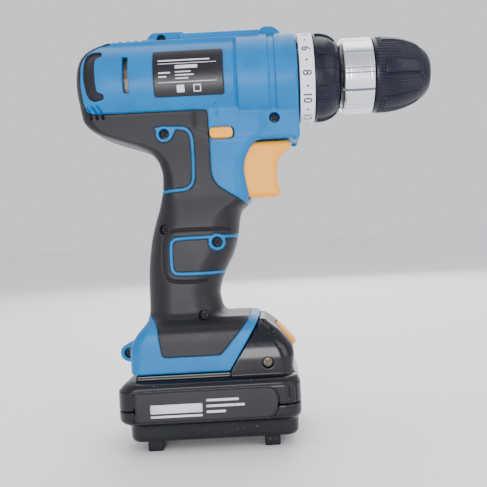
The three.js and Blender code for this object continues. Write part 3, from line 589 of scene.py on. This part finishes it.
# ---------- casing
barrel_side = rounded([
    (-80, -14), (REAR_X, -14), (REAR_X, 12), (-84.4, 15.6), (-81.6, 18.2), (-77, 20.4), (-72, MOTOR_R),
    (-9.7, MOTOR_R), (-9.2, 20.7), (-8.6, 21.2), (-8.2, GEARBOX_R), (19.6, GEARBOX_R), (FRONT_X, 21.7),
    (FRONT_X, -14)], [0, 3, 3, 3, 3, 6, 6, .3, .3, .3, .5, .7, .7, 0])
front_block = rounded([
    (-30, 150), (-20, 144.2), (-2, 144), (1, 143.5), (16.6, 143.5), (17, 142.5), (18.8, 142), (FRONT_X, 144),
    (FRONT_X, 170), (-30, 170)], [1, 4, 2, 1, .5, .4, .9, 1.4, 1, 1])
handle, base = Loft(HANDLE), Loft(BASE, 0.8)
shoulder = rounded([(-76, 185), (-7, 185), (-7, 193.2), (-9, 193.7), (-70, 193.3), (-76, 191.3)], 1)
vented = rounded([(-71, 185), (-47, 185), (-47, 194.7), (-67, 194.5), (-71, 193)], 1.0)
top_block = rounded([
    (-55, 185), (-33, 185), (-33.2, 197.8), (-34.6, 199.1), (-49, 199.1), (-50.6, 198), (-54, 193.4)],
    [1, 1, 1, 0.9, 0.9, 1, 1.4])
rail = rounded([(-36, 185), (3.6, 185), (3.4, 197.3), (-36, 197.3)], 0.9)
pointer = rounded([
    (0.4, 185), (14.6, 185), (14.4, 196), (11.4, 199.2), (9.2, 200.3), (5.2, 200.3), (2.8, 198.6),
    (1.2, 196.3)], 1.1)
RIDGES = (  # side outline, half width, edge radius
    (shoulder, 12.4, 0.8), (vented, 10.4, 1.0), (top_block, 6.4, 0.9), (rail, 9.2, 0.8), (pointer, 5.0, 1.6))
ear = rounded([
    (-60, 38.6), (-60, 47.6), (-69, 47.5), (-72.4, 45.6), (-73.1, 42.8), (-72.4, 40.1), (-69, 38.2)], 1.6)

# where the soft grip lies, and the blue lines let into it
grip_area = Map(chaikin([
    (-99, 158.7), (-99, 205), (-68, 205), (-68, 192.2), (-74.4, 191.4), (-79.6, 188.6), (-82.7, 183.6),
    (-82.7, 164), (-80.4, 158.7), (-24.4, 158.7), (-23.2, 157.6), (-23.1, 129), (-22.2, 125), (-19.8, 121.8),
    (-15.2, 118.4), (-10.6, 115.6), (-6.8, 112.6), (8, 111), (8, 66), (-8.4, 61.4), (-8.4, 58.4),
    (-21.3, 43.4), (-22.6, 42.6), (-48.2, 42.6), (-49.6, 43.8), (-51.2, 56.4), (-54.6, 60.8), (-80, 61.6),
    (-80, 100), (-99, 110)], times=2, share=0.14))
LINE_HALF = 0.78
web_line = Map(chaikin([
    (-47.6, 150.6), (-37, 150.6), (-33.6, 149.6), (-31.9, 146.8), (-31.5, 143), (-31.5, 128), (-32.2, 123.6),
    (-34.6, 121.2), (-38, 120.6), (-60, 120)], False, 2), False, LINE_HALF)
palm_line = Map(chaikin([
    (0, 97.5), (-40.4, 97.6), (-43, 96.8), (-44.1, 94.4), (-44.2, 84), (-43.4, 81.4), (-41, 80.4), (0, 80.2)],
    False, 2), False, LINE_HALF)
palm_crease = Map(chaikin([
    (-16, 101.2), (-41, 101.7), (-45.8, 100.6), (-47.9, 97), (-48.3, 84), (-47.2, 79.4), (-43.6, 76.8),
    (-28, 76.6)], False, 2), False)
web_corner = rounded([
    (-49.4, 151.3), (-38.4, 151.3), (-40.2, 147.8), (-41.4, 145.4), (-44.4, 144.1), (-47, 145.6)], 0.8)
rear_inset = Map(chaikin([
    (-79.6, 187.2), (-76.6, 188.2), (-72, 187.8), (-71.6, 185.2), (-74.6, 184.2), (-75.1, 181), (-74.6, 169),
    (-73.8, 167.8), (-71.2, 167), (-71.4, 164.6), (-76.8, 163.9), (-79.6, 166.6), (-80.9, 175), (-80.7, 183)],
    times=2, share=0.2))
side_vent = rounded([(-61.9, 167), (-59.3, 166.6), (-59.3, 184), (-61.9, 184.3)], 0.7)
drains = [Map([(x, 162.2), (x + 1.3, 160.2), (x + 1.9, 156.9)], False) for x in (-81, -78.1, -75.3)]
mould_mark = Map([(-19.6, 160.2), (-19.3, 156.4)], False)
direction_slot = rounded([(-23.1, 144.2), (-11.2, 144.2), (-11.2, 149.8), (-23.1, 149.8)], 2.4)


def joint_x(z):
    """Slanted plane where the casing's base meets the battery's front block."""
    return np.interp(z, [35.1, 46, 50, 54, 56.6, 59.7], [-18.4, -11.5, -9, -6.6, -5, -3.2])


def disc(x, z, key, r):
    """Distance to a disc round one of the screws."""
    return np.hypot(x - SCREWS[key][0], z - SCREWS[key][1]) - r


def inlay(x, z):
    """Distance to the blue lines in the soft grip, negative on them."""
    web = np.minimum(np.minimum(web_line(x, z), web_corner(x, z)), disc(x, z, "screw_web", 3.9))
    palm = np.minimum(palm_line(x, z), disc(x, z, "screw_grip_front", 4.1))
    return np.minimum(web, palm)


def soft(x, z):
    """Negative where the surface is soft grip."""
    return np.minimum(np.maximum(grip_area(x, z), -inlay(x, z)), rear_inset(x, z))


def casing(x, y, z, right):
    """Whole casing; the screw holes are on its right side only."""
    across = np.abs(y)
    flank = across > 6
    rho = np.hypot(y, z - AXIS_Z)
    barrel = barrel_side(x, rho)
    barrel = barrel + 0.9 * np.clip(1 - (np.abs(x - 8.2) / 1.8) ** 6, 0, 1) * (rho > 12)
    lower = smin(handle(x, y, z), slab(front_block(x, z), y, 14.1, 2.2), 2.5)
    d = smin(barrel, lower, 0.7)
    foot = smax(base(x, y, z), (x - joint_x(z)) * 0.85, 0.5)
    d = smin(d, foot, 3.0)
    for flat, half, r in RIDGES:
        d = smin(d, slab(flat(x, z), y, half, r), 0.9)
    d = smin(d, slab(ear(x, z), y, 6.0, 1.0), 1.2)
    # colour boundaries, inlay lines and moulded marks
    grip = grip_area(x, z)
    line = inlay(x, z)
    in_grip = grip < 0
    d = d + groove(grip, 0.5, 0.45)
    d = d + np.where(in_grip, groove(line, 0.42, 0.4) - 0.1 * np.clip(-line / 0.3, 0, 1), 0)
    d = d + np.where(in_grip, 0.75 * np.exp(-(palm_crease(x, z) / 0.62) ** 2), 0)
    d = d + np.where(flank, 1.0 * np.clip(-rear_inset(x, z) / 0.7 + 0.15, 0, 1), 0)
    for mark in drains:
        d = d + np.where(flank, 1.3 * np.clip(1 - mark(x, z) / 0.75, 0, 1), 0)
    d = d + np.where(flank, 0.5 * np.clip(1.4 - mould_mark(x, z) / 0.8, 0, 1), 0)
    d = d + groove(across, 0.3, 0.3)
    # openings
    d = smax(d, -block(x, y, z, *TRIGGER_CAVITY), 0.5)
    d = smax(d, -np.maximum(direction_slot(x, z), 9.6 - across), 0.4)
    d = smax(d, -block(x, y, z, *SELECTOR_SLOT), 0.4)
    d = smax(d, -np.maximum(side_vent(x, z), WINDOW_R - rho), 0.3)
    for at in TOP_SLITS:
        d = smax(d, -block(x, y, z, at - 0.9, at + 0.9, 14, 193.4, 205, 0.3), 0.25)
    d = smax(d, -block(x, y, z, *RAIL_SLOT), 0.3)
    d = smax(d, -block(x, y, z, *TONGUE_SLOT), 0.3)
    d = smax(d, -np.maximum(disc(x, z, "screw_ear", 1.7), across - 9), 0.3)
    if right:
        for key, (_, _, face) in SCREWS.items():
            radius = TOP_HEAD_R + 0.25 if key == "screw_top" else SCREW_HEAD_R + 0.3
            d = smax(d, -np.maximum(disc(x, z, key, radius), y + face - 2.3), 0.35)
    return d


def build_half(right):
    """One half of the casing, cut along its colour line into a blue piece and a soft one."""
    side = "right" if right else "left"
    sign = -1 if right else 1

    def field(x, y, z):
        return casing(x, y, z, right)

    lo = (-88, -28, 33) if right else (-88, -1.3, 33)
    hi = (23, 1.3, 203) if right else (23, 28, 203)
    v, t = surface(field, lo, hi, MEDIUM)
    v, t, _ = split(v, t, sign * v[:, 1])
    v, t = compact(v, t)
    v, blue, dark = split(v, t, soft(v[:, 0], v[:, 2]))
    v = settle(field, v, MEDIUM, 2)
    v[:, 1] = sign * np.maximum(sign * v[:, 1], 0.02)
    parts = ("housing", blue, BLUE, "blue_plastic"), ("grip", dark, GRIP, "soft_grip")
    for name, part, material, slot in parts:
        pv, pt = compact(v, part)
        # the side vent has no floor, so the motor shows through it
        mx, my, mz = pv[pt].mean(1).T
        deep = np.hypot(my, mz - AXIS_Z) < WINDOW_R + 0.12
        pt = pt[~(deep & (side_vent(mx, mz) < 0) & (np.abs(my) > 3))]
        pv, pt = compact(pv, pt)
        obj = add_mesh(f"{name}_{side}_skin", pv, pt, [material], normals=slope(field, pv))
        piece(obj, "housing", [f"{name}_{side}"], slot)


build_half(True)
build_half(False)


# ---------- screws and small moulded controls
def screw_skin(name, x, y_face, z, body, radius, toward=-1, metal=SCREW):
    """Pan head with a cross recess, facing -Y or +Y."""

    def field(px, py, pz):
        u, w = px - x, pz - z
        out = (py - y_face) * toward
        radial = np.hypot(u, w)
        dome = np.maximum(radial - radius, out - 0.35 * np.clip(1 - (radial / radius) ** 2, 0, 1))
        head = smax(dome, -out - 2.6, 0.2)
        a, b = (u + w) * 0.7071, (u - w) * 0.7071
        deep = -0.95 + 0.35 * radial
        slot_a = np.maximum(np.maximum(np.abs(a) - 0.36, np.abs(b) - 1.5), deep - out)
        slot_b = np.maximum(np.maximum(np.abs(b) - 0.36, np.abs(a) - 1.5), deep - out)
        return smax(head, -np.minimum(slot_a, slot_b), 0.12)

    r = radius + 0.6
    lo, hi = (x - r, y_face - 3.2, z - r), (x + r, y_face + 3.2, z + r)
    return shaped(name + "_skin", field, lo, hi, FINEST, metal, body, [name], "steel")


for key, (screw_x, screw_z, face) in SCREWS.items():
    head_r = TOP_HEAD_R if key == "screw_top" else SCREW_HEAD_R
    screw_skin(key, screw_x, -face + 0.5, screw_z, "housing", head_r)

trigger_side = rounded([
    (-10, 142.8), (14.6, 142.8), (16.2, 141.6), (15.6, 139.6), (12.6, 138.2), (10.2, 136), (9, 132.6),
    (8.4, 127.5), (8.9, 121.8), (10, 118.4), (9.5, 116.6), (7.6, 116), (-10, 116)], 1.4)


def trigger_field(x, y, z):
    bow = 0.9 * np.clip((np.abs(y) - 3) / 7, 0, 1) ** 2
    return slab(trigger_side(x + bow, z), y, 9.9, 2.6)


shaped("trigger_skin", trigger_field, (-11, -10.6, 115), (18, 10.6, 144), MEDIUM_FINE, ORANGE, "trigger_body",
       ["trigger"], "orange_plastic")

pad_side = rounded([(-22.8, 144.3), (-11.8, 144.3), (-11.8, 149.5), (-22.8, 149.5)], 2.3)
PAD_X = -17.3


def direction_field(x, y, z):
    pads = slab(pad_side(x, z), np.abs(y) - 11, 6.2, 0.8)
    u = x - PAD_X
    ribs = 0.3 * (np.cos(u * 2 * math.pi / 1.7) > 0.2) * (np.abs(y) > 15.5) * (np.abs(u) < 3.8)
    stem = block(x, y, z, -22, -12.6, 8, 145.2, 148.6, 0.6)
    return np.minimum(pads + ribs, stem)


shaped("direction_skin", direction_field, (-24, -18.2, 143), (-10.6, 18.2, 151), FINE, ORANGE, "direction",
       ["direction_bar"], "orange_plastic")


def selector_field(x, y, z):
    plate = block(x, y, z, -24, 4.6, 6, 194.3, 195.7, 0.5)
    knob = block(x, y, z, -13.8, -10, 4.6, 194.5, 199, 0.9)
    steps = 0.3 * np.clip(1 - np.abs(np.abs(x + 11.9) - 0.7) / 0.3, 0, 1) * (z > 198)
    return smin(plate, knob + steps, 0.6)


shaped("selector_skin", selector_field, (-25, -6.8, 193.4), (5.4, 6.8, 200), FINE, ORANGE, "selector",
       ["speed_selector"], "orange_plastic")


# ---------- battery
# each row of a loft: height, rear, front, half width, corner radius
lower_case = Loft(np.array([
    [5, -64.4, 11, 26.8, 5], [6.4, -65.5, 12.1, 27.9, 6], [12.6, -65.7, 12.4, 28.1, 6],
    [13.6, -68.4, 13.2, 29.8, 7], [15, -70.2, 13.9, 31, 8], [19.9, -70.4, 14, 31, 8]], float), 0.5)
upper_case = Loft(np.array([
    [20.1, -70.4, 14, 31, 8], [28.9, -70.3, 14, 31, 8], [31.8, -67.4, 12.6, 29, 8], [32.4, -66, 12, 27.5, 8]],
    float), 0.4)
tower = Loft(np.array([
    [30, -31, 12.4, 24.4, 6], [35.1, -29, 11.2, 24.6, 6], [40.5, -25, 12, 24.6, 7],
    [44.5, -22, 11.5, 24.2, 8], [48.5, -20, 8.6, 23.2, 7.5], [52.5, -18, 5.4, 21, 6], [55.6, -16, 1.6, 18.5, 4],
    [57.8, -14, -1.4, 16, 2]], float), 0.8)
label_zone = rounded([(-62.3, 14.4), (0.8, 14.4), (3.6, 18.5), (3.8, 24.4), (0.8, 28.4), (-62.3, 28.4)],
                     [1.2, 2.6, 4, 4, 2.6, 1.2])


def button_frame(x, z):
    """Distance out of the release button's face, and along it."""
    u, w = x - BUTTON_AT[0], z - BUTTON_AT[1]
    cos, sin = math.cos(BUTTON_TILT), math.sin(BUTTON_TILT)
    return u * cos + w * sin, w * cos - u * sin


def side_marks(x, y, z, in_slots):
    """Sunk label zone, and slots that run down the four corners of the battery."""
    label = np.where(np.abs(y) > 27, 0.7 * np.clip(0.5 - label_zone(x, z) / 0.4, 0, 1), 0)
    ends = np.maximum(x - 12.6, -69 - x)
    slots = np.clip(1 - np.abs(np.abs(y) - 23.5) / 0.5, 0, 1) * (ends > -2) * in_slots
    return label + 0.5 * slots


def lower_field(x, y, z):
    d = lower_case(x, y, z, 0.8)
    for rear in (-57.8, -3.8):
        d = smin(d, block(x, np.abs(y) - 21, z, rear, rear + 7.2, 4.2, 0, 6.5, 0.7), 0.6)
    return d + side_marks(x, y, z, z > 14.4)


def upper_field(x, y, z):
    d = upper_case(x, y, z, 1.0)
    front = smax(tower(x, y, z, 0.8), (joint_x(z) + 0.4 - x) * 0.85, 0.5)
    d = smin(d, np.where(z < 34, np.maximum(front, -19.6 - x), front), 0.8)
    d = smin(d, block(x, y, z, *DECK), 0.5)
    d = smin(d, block(x, y, z, *TONGUE), 0.4)
    d = smin(d, block(x, y, z, *RAILS), 0.4)
    for at in CONTACT_SLOTS:
        d = smax(d, -block(x, y - at, z, -66, -44, 1.0, 40, 50, 0.3), 0.25)
    d = d + side_marks(x, y, z, z < 29.6)
    # two lines on each front corner, cooling ribs under the button and a step round the case
    across = np.abs(y)
    corner = np.clip(1 - np.abs(np.abs(x - 10) - 1.5) / 0.4, 0, 1) * (np.abs(z - 25) < 4) * (across > 24)
    d = d + 0.45 * corner
    ribs = np.clip(1 - np.abs((z - 37) % 2.3 - 1.15) / 0.55, 0, 1) * (z > 36) * (z < 42.6)
    d = d + 0.55 * ribs * (x > 9.4) * (across < 15)
    d = d + groove(z - 29.4, 0.28, 0.22) * (across > 22)
    out, along = button_frame(x, z)
    d = smax(d, -np.maximum(box2(along, y, 7, 9.1, 2.2), -6.4 - out), 0.5)
    hole = np.hypot(x - BATTERY_SCREW[0], z - BATTERY_SCREW[2]) - SCREW_HEAD_R - 0.35
    return smax(d, -np.maximum(hole, 20.4 - across), 0.35)


def battery_case(name, field, z_from, z_to):
    """Glossy case whose sunk label zones are satin."""
    v, t = surface(field, (-72, -32.5, z_from), (15.6, 32.5, z_to), COARSE)
    mx, my, mz = v[t].mean(1).T
    satin = (np.abs(my) > 29.4) & (label_zone(mx, mz) < 0.1)
    obj = add_mesh(name + "_skin", v, t, [GLOSS, SATIN], satin.astype(int), slope(field, v))
    piece(obj, "battery", [name], "gloss_black")


battery_case("battery_lower_case", lower_field, -0.8, 20.6)
battery_case("battery_upper_case", upper_field, 19.4, 59)


def button_field(x, y, z):
    out, along = button_frame(x, z)
    face = box2(along, y, 6.3, 8.4, 2.0)
    dish = 0.5 * np.exp(-((along + 1) / 3.2) ** 2) * (np.abs(y) < 7)
    top = out - 3.1 + 0.35 * (y / 8.4) ** 2 + dish * 0.4
    ribs = 0.28 * np.clip(1 - np.abs(along % 2.0 - 1.0) / 0.4, 0, 1) * (np.abs(y) < 5.6)
    ribs = ribs * (np.abs(along) < 4.2) * (out > 1)
    return smax(smax(face, top + ribs, 0.9), -3.4 - out, 0.4)


shaped("release_skin", button_field, (-6, -9.2, 36), (18, 9.2, 58), MEDIUM_FINE, ORANGE, "release",
       ["release_button"], "orange_plastic")

for key, toward in (("battery_screw_right", -1), ("battery_screw_left", 1)):
    screw_x, screw_y, screw_z = BATTERY_SCREW
    screw_skin(key, screw_x, toward * (screw_y + 0.3), screw_z, "battery", SCREW_HEAD_R, toward, CAN)


# ---------- label and rating plate: plain printed shapes
def close_up(obj):
    """Fills the open rings of a mesh and turns its faces outwards."""
    bm = bmesh.new()
    bm.from_mesh(obj.data)
    bmesh.ops.holes_fill(bm, edges=[e for e in bm.edges if e.is_boundary], sides=0)
    bmesh.ops.recalc_face_normals(bm, faces=bm.faces)
    bm.to_mesh(obj.data)
    bm.free()


def sheet_piece(name, outline, place, thick, body, node):
    """Thin label cut to an outline and laid on a surface: place(across, up, lift) gives its points."""
    flat = resample(outline, 0.7)
    middle = flat.mean(0)
    rows = [(middle + (flat - middle) * share, thick) for share in np.linspace(0.02, 1, 26)]
    rim = rows[-1][0]
    rows[-1:] = [(middle + (flat - middle) * 0.996, thick), (rim, thick * 0.55), (rim, 0.0)]
    v = np.array([place(u, w, lift) for ring, lift in rows for u, w in ring])
    obj = add_mesh(name, v, grid_faces(len(rows), len(flat), False, True), [LABEL])
    close_up(obj)
    return piece(obj, body, [node], "label_film")


def bars(name, shapes, place, thick, body):
    """Printed bars and blocks on a label, as one piece: each is (u0, u1, w0, w1, corner)."""
    verts, faces = [], []
    for u0, u1, w0, w1, corner in shapes:
        flat = resample(fillet([(u0, w0), (u1, w0), (u1, w1), (u0, w1)], corner, 3, True), 0.8)
        middle = np.array([(u0 + u1) / 2, (w0 + w1) / 2])
        rings = [middle + (flat - middle) * share for share in (0.04, 0.35, 0.7, 1.0)]
        rows = [(ring, 0.05) for ring in rings] + [(rings[-1], -0.12)]
        faces.append(grid_faces(len(rows), len(flat), False, True) + len(verts))
        verts.extend(place(u, w, lift + thick) for ring, lift in rows for u, w in ring)
    obj = add_mesh(name, np.array(verts), np.concatenate(faces), [PRINT])
    close_up(obj)
    return piece(obj, body, (), "label_film")


def on_label(u, w, lift):
    return (u, LABEL_Y - lift, w)


def on_plate(u, w, lift):
    angle = (w - AXIS_Z) / PLATE_R
    r = PLATE_R + lift
    return (u, -r * math.cos(angle), AXIS_Z + r * math.sin(angle))


label_outline = fillet([(-61.8, 15), (0.4, 15), (3, 18.6), (3.2, 24.2), (0.4, 27.8), (-61.8, 27.8)],
                       [1, 2.4, 3.6, 3.6, 2.4, 1], 5, True)
sheet_piece("battery_label_skin", label_outline, on_label, LABEL_THICK, "battery", "battery_label")
bars("battery_label_print", [
    (-54.8, -31.2, 18.6, 22.6, 0.5), (-54.8, -31.2, 16.7, 17.7, 0.3), (-29.4, -14.6, 23.2, 24.3, 0.3),
    (-29.4, -12, 20.6, 21.7, 0.3), (-29.4, -20.6, 18, 19.1, 0.3)], on_label, LABEL_THICK, "battery")
plate_outline = fillet([(-47.4, 163.9), (-14.4, 163.9), (-14.4, 186.9), (-47.4, 186.9)], 1.4, 5, True)
sheet_piece("rating_plate_skin", plate_outline, on_plate, PLATE_THICK, "housing", "rating_plate")
bars("rating_plate_print", [
    (-45, -20.6, 180.6, 181.3, 0.2), (-45, -17.6, 179.2, 179.5, 0.1), (-37, -26.4, 176.8, 178.4, 0.3),
    (-44.8, -39.2, 174.6, 175.3, 0.2), (-44.8, -41, 172.8, 173.5, 0.2), (-37, -29.6, 174.9, 175.5, 0.2),
    (-37, -28.2, 173.4, 174, 0.2), (-37, -30.8, 171.9, 172.5, 0.2), (-45, -17.6, 170.4, 170.7, 0.1),
    (-36.6, -33, 165.8, 169.2, 0.3), (-28.8, -25.2, 165.8, 166.3, 0.1), (-28.8, -25.2, 168.7, 169.2, 0.1),
    (-28.8, -28.3, 165.8, 169.2, 0.1), (-25.7, -25.2, 165.8, 169.2, 0.1)], on_plate, PLATE_THICK, "housing")


# ---------- collar, number ring and chuck
def sector(angle, count, first, width):
    """How far inside evenly spaced sectors an angle in radians is, in degrees; positive is inside."""
    pitch = 360 / count
    off = (np.degrees(angle) - first + pitch / 2) % pitch - pitch / 2
    return width / 2 - np.abs(off)


def ramp_up(value, width):
    """Soft step from 0 to 1 round zero."""
    t = np.clip(value / width + 0.5, 0, 1)
    return t * t * (3 - 2 * t)


def collar_carve(x, r, a):
    """Eight finger grips round the collar, with fine lines between them."""
    grip = ramp_up(sector(a, 8, -12, 22.5), 1.2)
    along = ramp_up(x - 29.8, 0.7) * ramp_up(39.6 - x, 1.4)
    outer = ramp_up(r - 17.2, 0.6)
    fine = 0.07 * np.cos(a * 120) * (1 - grip)
    return r + outer * along * (-1.25 * (1 - grip) + fine)


collar_profile = fillet([
    (21.3, 18.3), (21.3, 20.3), (28.6, 20.3), (28.6, 21.7), (33, 21.5), (36.2, 20.6), (39, 18.9), (41, 16.4),
    (41.4, 15.4), (41.4, 13), (37.7, 13), (37.7, 18.3)],
    [.2, .2, .1, .5, 2, 2, 2, 1, .5, .3, .3, .3], 5, True)
collar = lathe("collar_skin", collar_profile, 480, [CHUCK], 0.35, collar_carve)
piece(collar, "collar", ["clutch_collar"], "black_plastic")

ring_profile = fillet([
    (21.25, 20.6), (21.25, 21.7), (21.45, RING_R), (28.1, RING_R), (28.3, 21.7), (28.3, 20.6)], 0.12, 3, True)
ring = lathe("number_ring_skin", ring_profile, 240, [RING], 0.5)
piece(ring, "collar", ["number_ring"], "white_plastic")


def ring_place(angle, along, up, lift):
    """Point on the number ring: up runs to the nose, along runs down the -Y side."""
    r = RING_R + lift
    t = math.radians(angle) - along / RING_R
    return (RING_X + up, -r * math.cos(t), AXIS_Z + r * math.sin(t))


def on_ring(flat, triangles, angle):
    """A flat drawing laid round the number ring and given a little depth."""
    top, low = (np.array([ring_place(angle, u, w, lift) for u, w in flat]) for lift in (0.03, -0.1))
    edges = np.sort(np.concatenate([triangles[:, [0, 1]], triangles[:, [1, 2]], triangles[:, [2, 0]]]), 1)
    unique, count = np.unique(edges, axis=0, return_counts=True)
    a, b = unique[count == 1].T
    n = len(flat)
    walls = np.concatenate([np.stack([a, b, b + n], 1), np.stack([a, b + n, a + n], 1)])
    return np.vstack([top, low]), np.vstack([triangles, triangles[:, ::-1] + n, walls])


def number(value):
    """Outline and triangles of a printed number, centred."""
    curve = bpy.data.curves.new("digit", "FONT")
    curve.body, curve.size, curve.align_x, curve.align_y = str(value), 5.9, "CENTER", "CENTER"
    curve.offset, curve.resolution_u = 0.06, 3
    flat = bpy.data.objects.new("digit", curve)
    bpy.context.scene.collection.objects.link(flat)
    bpy.context.view_layer.update()
    mesh = bpy.data.meshes.new_from_object(flat.evaluated_get(bpy.context.evaluated_depsgraph_get()))
    mesh.calc_loop_triangles()
    v = np.array([p.co[:2] for p in mesh.vertices])
    t = np.array([p.vertices[:] for p in mesh.loop_triangles])
    bpy.data.objects.remove(flat)
    bpy.data.curves.remove(curve)
    bpy.data.meshes.remove(mesh)
    return v - (v.max(0) + v.min(0)) / 2, t


turn = np.arange(12) * math.pi / 6
dot = 0.55 * np.stack([np.cos(turn), np.sin(turn)], 1), np.array([(0, k, k + 1) for k in range(1, 11)])
mark_v, mark_t = [], []
for setting in (*range(2, 19, 2), *range(3, 19, 2)):
    drawing = dot if setting % 2 else number(setting)
    dv, dt = on_ring(*drawing, 90 - (setting - 2) * CLICK)
    mark_t.append(dt + sum(map(len, mark_v)))
    mark_v.append(dv)
marks = add_mesh("number_marks", np.vstack(mark_v), np.vstack(mark_t), [INK])
close_up(marks)
for polygon in marks.data.polygons:
    polygon.use_smooth = False
piece(marks, "collar", (), "white_plastic")


def flutes(a):
    """Distances round the bright ring to its six deep grooves and to its six pairs of fine ones."""
    per_degree = 0.32
    return sector(a, 6, 26, 0) * per_degree, sector(a, 6, -4, 0) * per_degree + 1.2


def silver_carve(x, r, a):
    deep, fine = flutes(a)
    main = groove(deep, 0.8, 0.75)
    faint = groove(fine, 0.34, 0.26)
    hoop = groove(x - 45.4, 0.3, 0.12) + groove(x - 55.2, 0.3, 0.12)
    return r - (main + faint + hoop) * (r > 17)


def silver_pick(x, r, a):
    """The floors of the grooves get a darker metal, painted shade."""
    deep, fine = flutes(a)
    return (((deep > -0.55) | (np.abs(fine) < 0.12)) & (r > 17) & (x > 43) & (x < 57)).astype(int)


silver_profile = fillet([
    (42.3, 15.8), (42.3, 17.2), (43.2, BRIGHT_RING_R), (57.2, BRIGHT_RING_R), (57.2, 15.8)],
    [.2, .3, .8, .5, .2], 5, True)
# the second material is painted shade in the groove floors
silver = lathe("rear_ring_skin", silver_profile, 720, [SILVER, PAINTED_GROOVE_SHADE], 0.3, silver_carve, silver_pick)
piece(silver, "sleeve", ["chuck_rear_ring"], "silver_metal")


def sleeve_carve(x, r, a):
    """Fine ribs all round, and six smooth raised pads, on the outer face only."""
    under = np.interp(x, [57, 60, 65, 70, 74, 78, 81.5, 84, 86],
                      [17, 17.1, 17.1, 16.5, 15.4, 13.8, 11.8, 9.8, 7.6])
    outer = ramp_up(r - under, 0.5)
    ribs = 0.16 * np.cos(a * 72) * ramp_up(x - 59.4, 0.6) * ramp_up(80.6 - x, 1.2)
    edge = np.minimum(sector(a, 6, 0, 20) * 0.3, np.minimum(x - 62.2, 80 - x))
    pad = ramp_up(edge, 0.5)
    rim = np.exp(-((edge + 0.45) / 0.3) ** 2)
    return r + outer * (ribs * (1 - pad) - 0.12 * (1 - pad) + 0.36 * pad - 0.25 * rim)


sleeve_profile = fillet([
    (57.6, 16.3), (57.6, 18.2), (60, 18.4), (65, 18.4), (70, 17.8), (74, 16.7), (78, 15.1), (81.5, 13.2),
    (84, 11.2), (85.5, 9.3), (86, 8.2), (86, 5.7), (84.4, 5.7), (84.2, 7.3), (80, 9.3),
    (75, 12.4), (70, 14.6), (66, 16.3)],
    [.3, .6, 2, 2, 2, 2, 2, 2, 1, .7, .7, .3, .3, .3, 1, 1, 1, 1], 2, True)
sleeve = lathe("sleeve_skin", sleeve_profile, 720, [CHUCK], 0.5, sleeve_carve)
piece(sleeve, "sleeve", ["chuck_sleeve"], "black_plastic")

# ---------- pieces inside keep their CAD shape
INSIDE = {
    CAN: ["motor_can"],
    STEEL: ["spindle", "spindle_bearing", "chuck_screw", "chuck_body", "jaw_a", "jaw_b", "jaw_c", "shift_fork",
            "clutch_spring"],
    ZINC: ["motor_pinion", "carrier_first", "shift_ring_gear", "chuck_nut", "planet_first_a", "planet_first_b",
           "planet_first_c", "planet_second_a", "planet_second_b", "planet_second_c"],
    NYLON: ["clutch_nut", "gear_case"],
    INNER: ["motor_end_bell", "switch_body", "terminal_block", "wire_motor_negative", "wire_battery_negative"],
    COPPER: ["armature"],
    RED: ["wire_motor_positive", "wire_battery_positive"],
    SLEEVE: ["cell_a", "cell_b", "cell_c"],
    BOARD: ["battery_board"],
}
for material, names in INSIDE.items():
    for name in names:
        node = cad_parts[name]
        node.data.materials.clear()
        node.data.materials.append(material)

# ---------- floor, lights and camera
floor_mesh = bpy.data.meshes.new("floor")
floor_mesh.from_pydata([(-40, -40, 0), (40, -40, 0), (40, 40, 0), (-40, 40, 0)], [], [(0, 1, 2, 3)])
floor = bpy.data.objects.new("floor", floor_mesh)
bpy.context.scene.collection.objects.link(floor)
paper = Nodes("paper")
pale = paper.mix(paper.noise(6, 3, 0.6), (0.93, 0.93, 0.935, 1), (0.96, 0.96, 0.96, 1))
paper.link(pale, paper.bsdf.inputs["Base Color"])
paper.bsdf.inputs["Roughness"].default_value = 0.7
paper.link(paper.bump(paper.noise(900, 2, 0.6), 2e-5), paper.bsdf.inputs["Normal"])
floor_mesh.materials.append(paper.material)
floor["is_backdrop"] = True

world = bpy.data.worlds.new("studio")
bpy.context.scene.world = world
world.use_nodes = True
world.node_tree.nodes["Background"].inputs["Color"].default_value = (0.93, 0.95, 1.0, 1)
world.node_tree.nodes["Background"].inputs["Strength"].default_value = 1.0


def area(name, at, size, power):
    """Soft square lamp aimed at the middle of the drill; metres and watts."""
    light = bpy.data.lights.new(name, "AREA")
    light.shape = "RECTANGLE"
    light.size, light.size_y, light.energy = size, size, power
    obj = bpy.data.objects.new(name, light)
    bpy.context.scene.collection.objects.link(obj)
    obj.location = at
    obj.rotation_euler = (Vector((0, 0, 0.1)) - Vector(at)).to_track_quat("-Z", "Y").to_euler()
    obj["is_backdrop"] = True


area("key", (-0.1, -0.75, 0.06), 0.35, 5.5)
area("fill", (0.8, -0.7, 0.45), 0.7, 4)
area("top", (0, 0.25, 1.1), 0.9, 7)
area("back", (0.1, 0.95, 0.6), 0.8, 6)

camera_data = bpy.data.cameras.new("camera")
camera_data.sensor_width = 36
camera_data.lens = 47.3
camera_data.shift_x, camera_data.shift_y = -0.0565, -0.009
camera_data.clip_start, camera_data.clip_end = 0.01, 100
camera = bpy.data.objects.new("camera", camera_data)
bpy.context.scene.collection.objects.link(camera)
level = Matrix.Rotation(math.radians(90), 4, "X")
camera.matrix_world = Matrix.Translation(CAMERA_AT) @ level @ Matrix.Rotation(CAMERA_ROLL, 4, "Z")
bpy.context.scene.camera = camera
camera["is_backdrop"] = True

[[list(map(float, corner)) for corner in box] for box in (cad_box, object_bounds())]
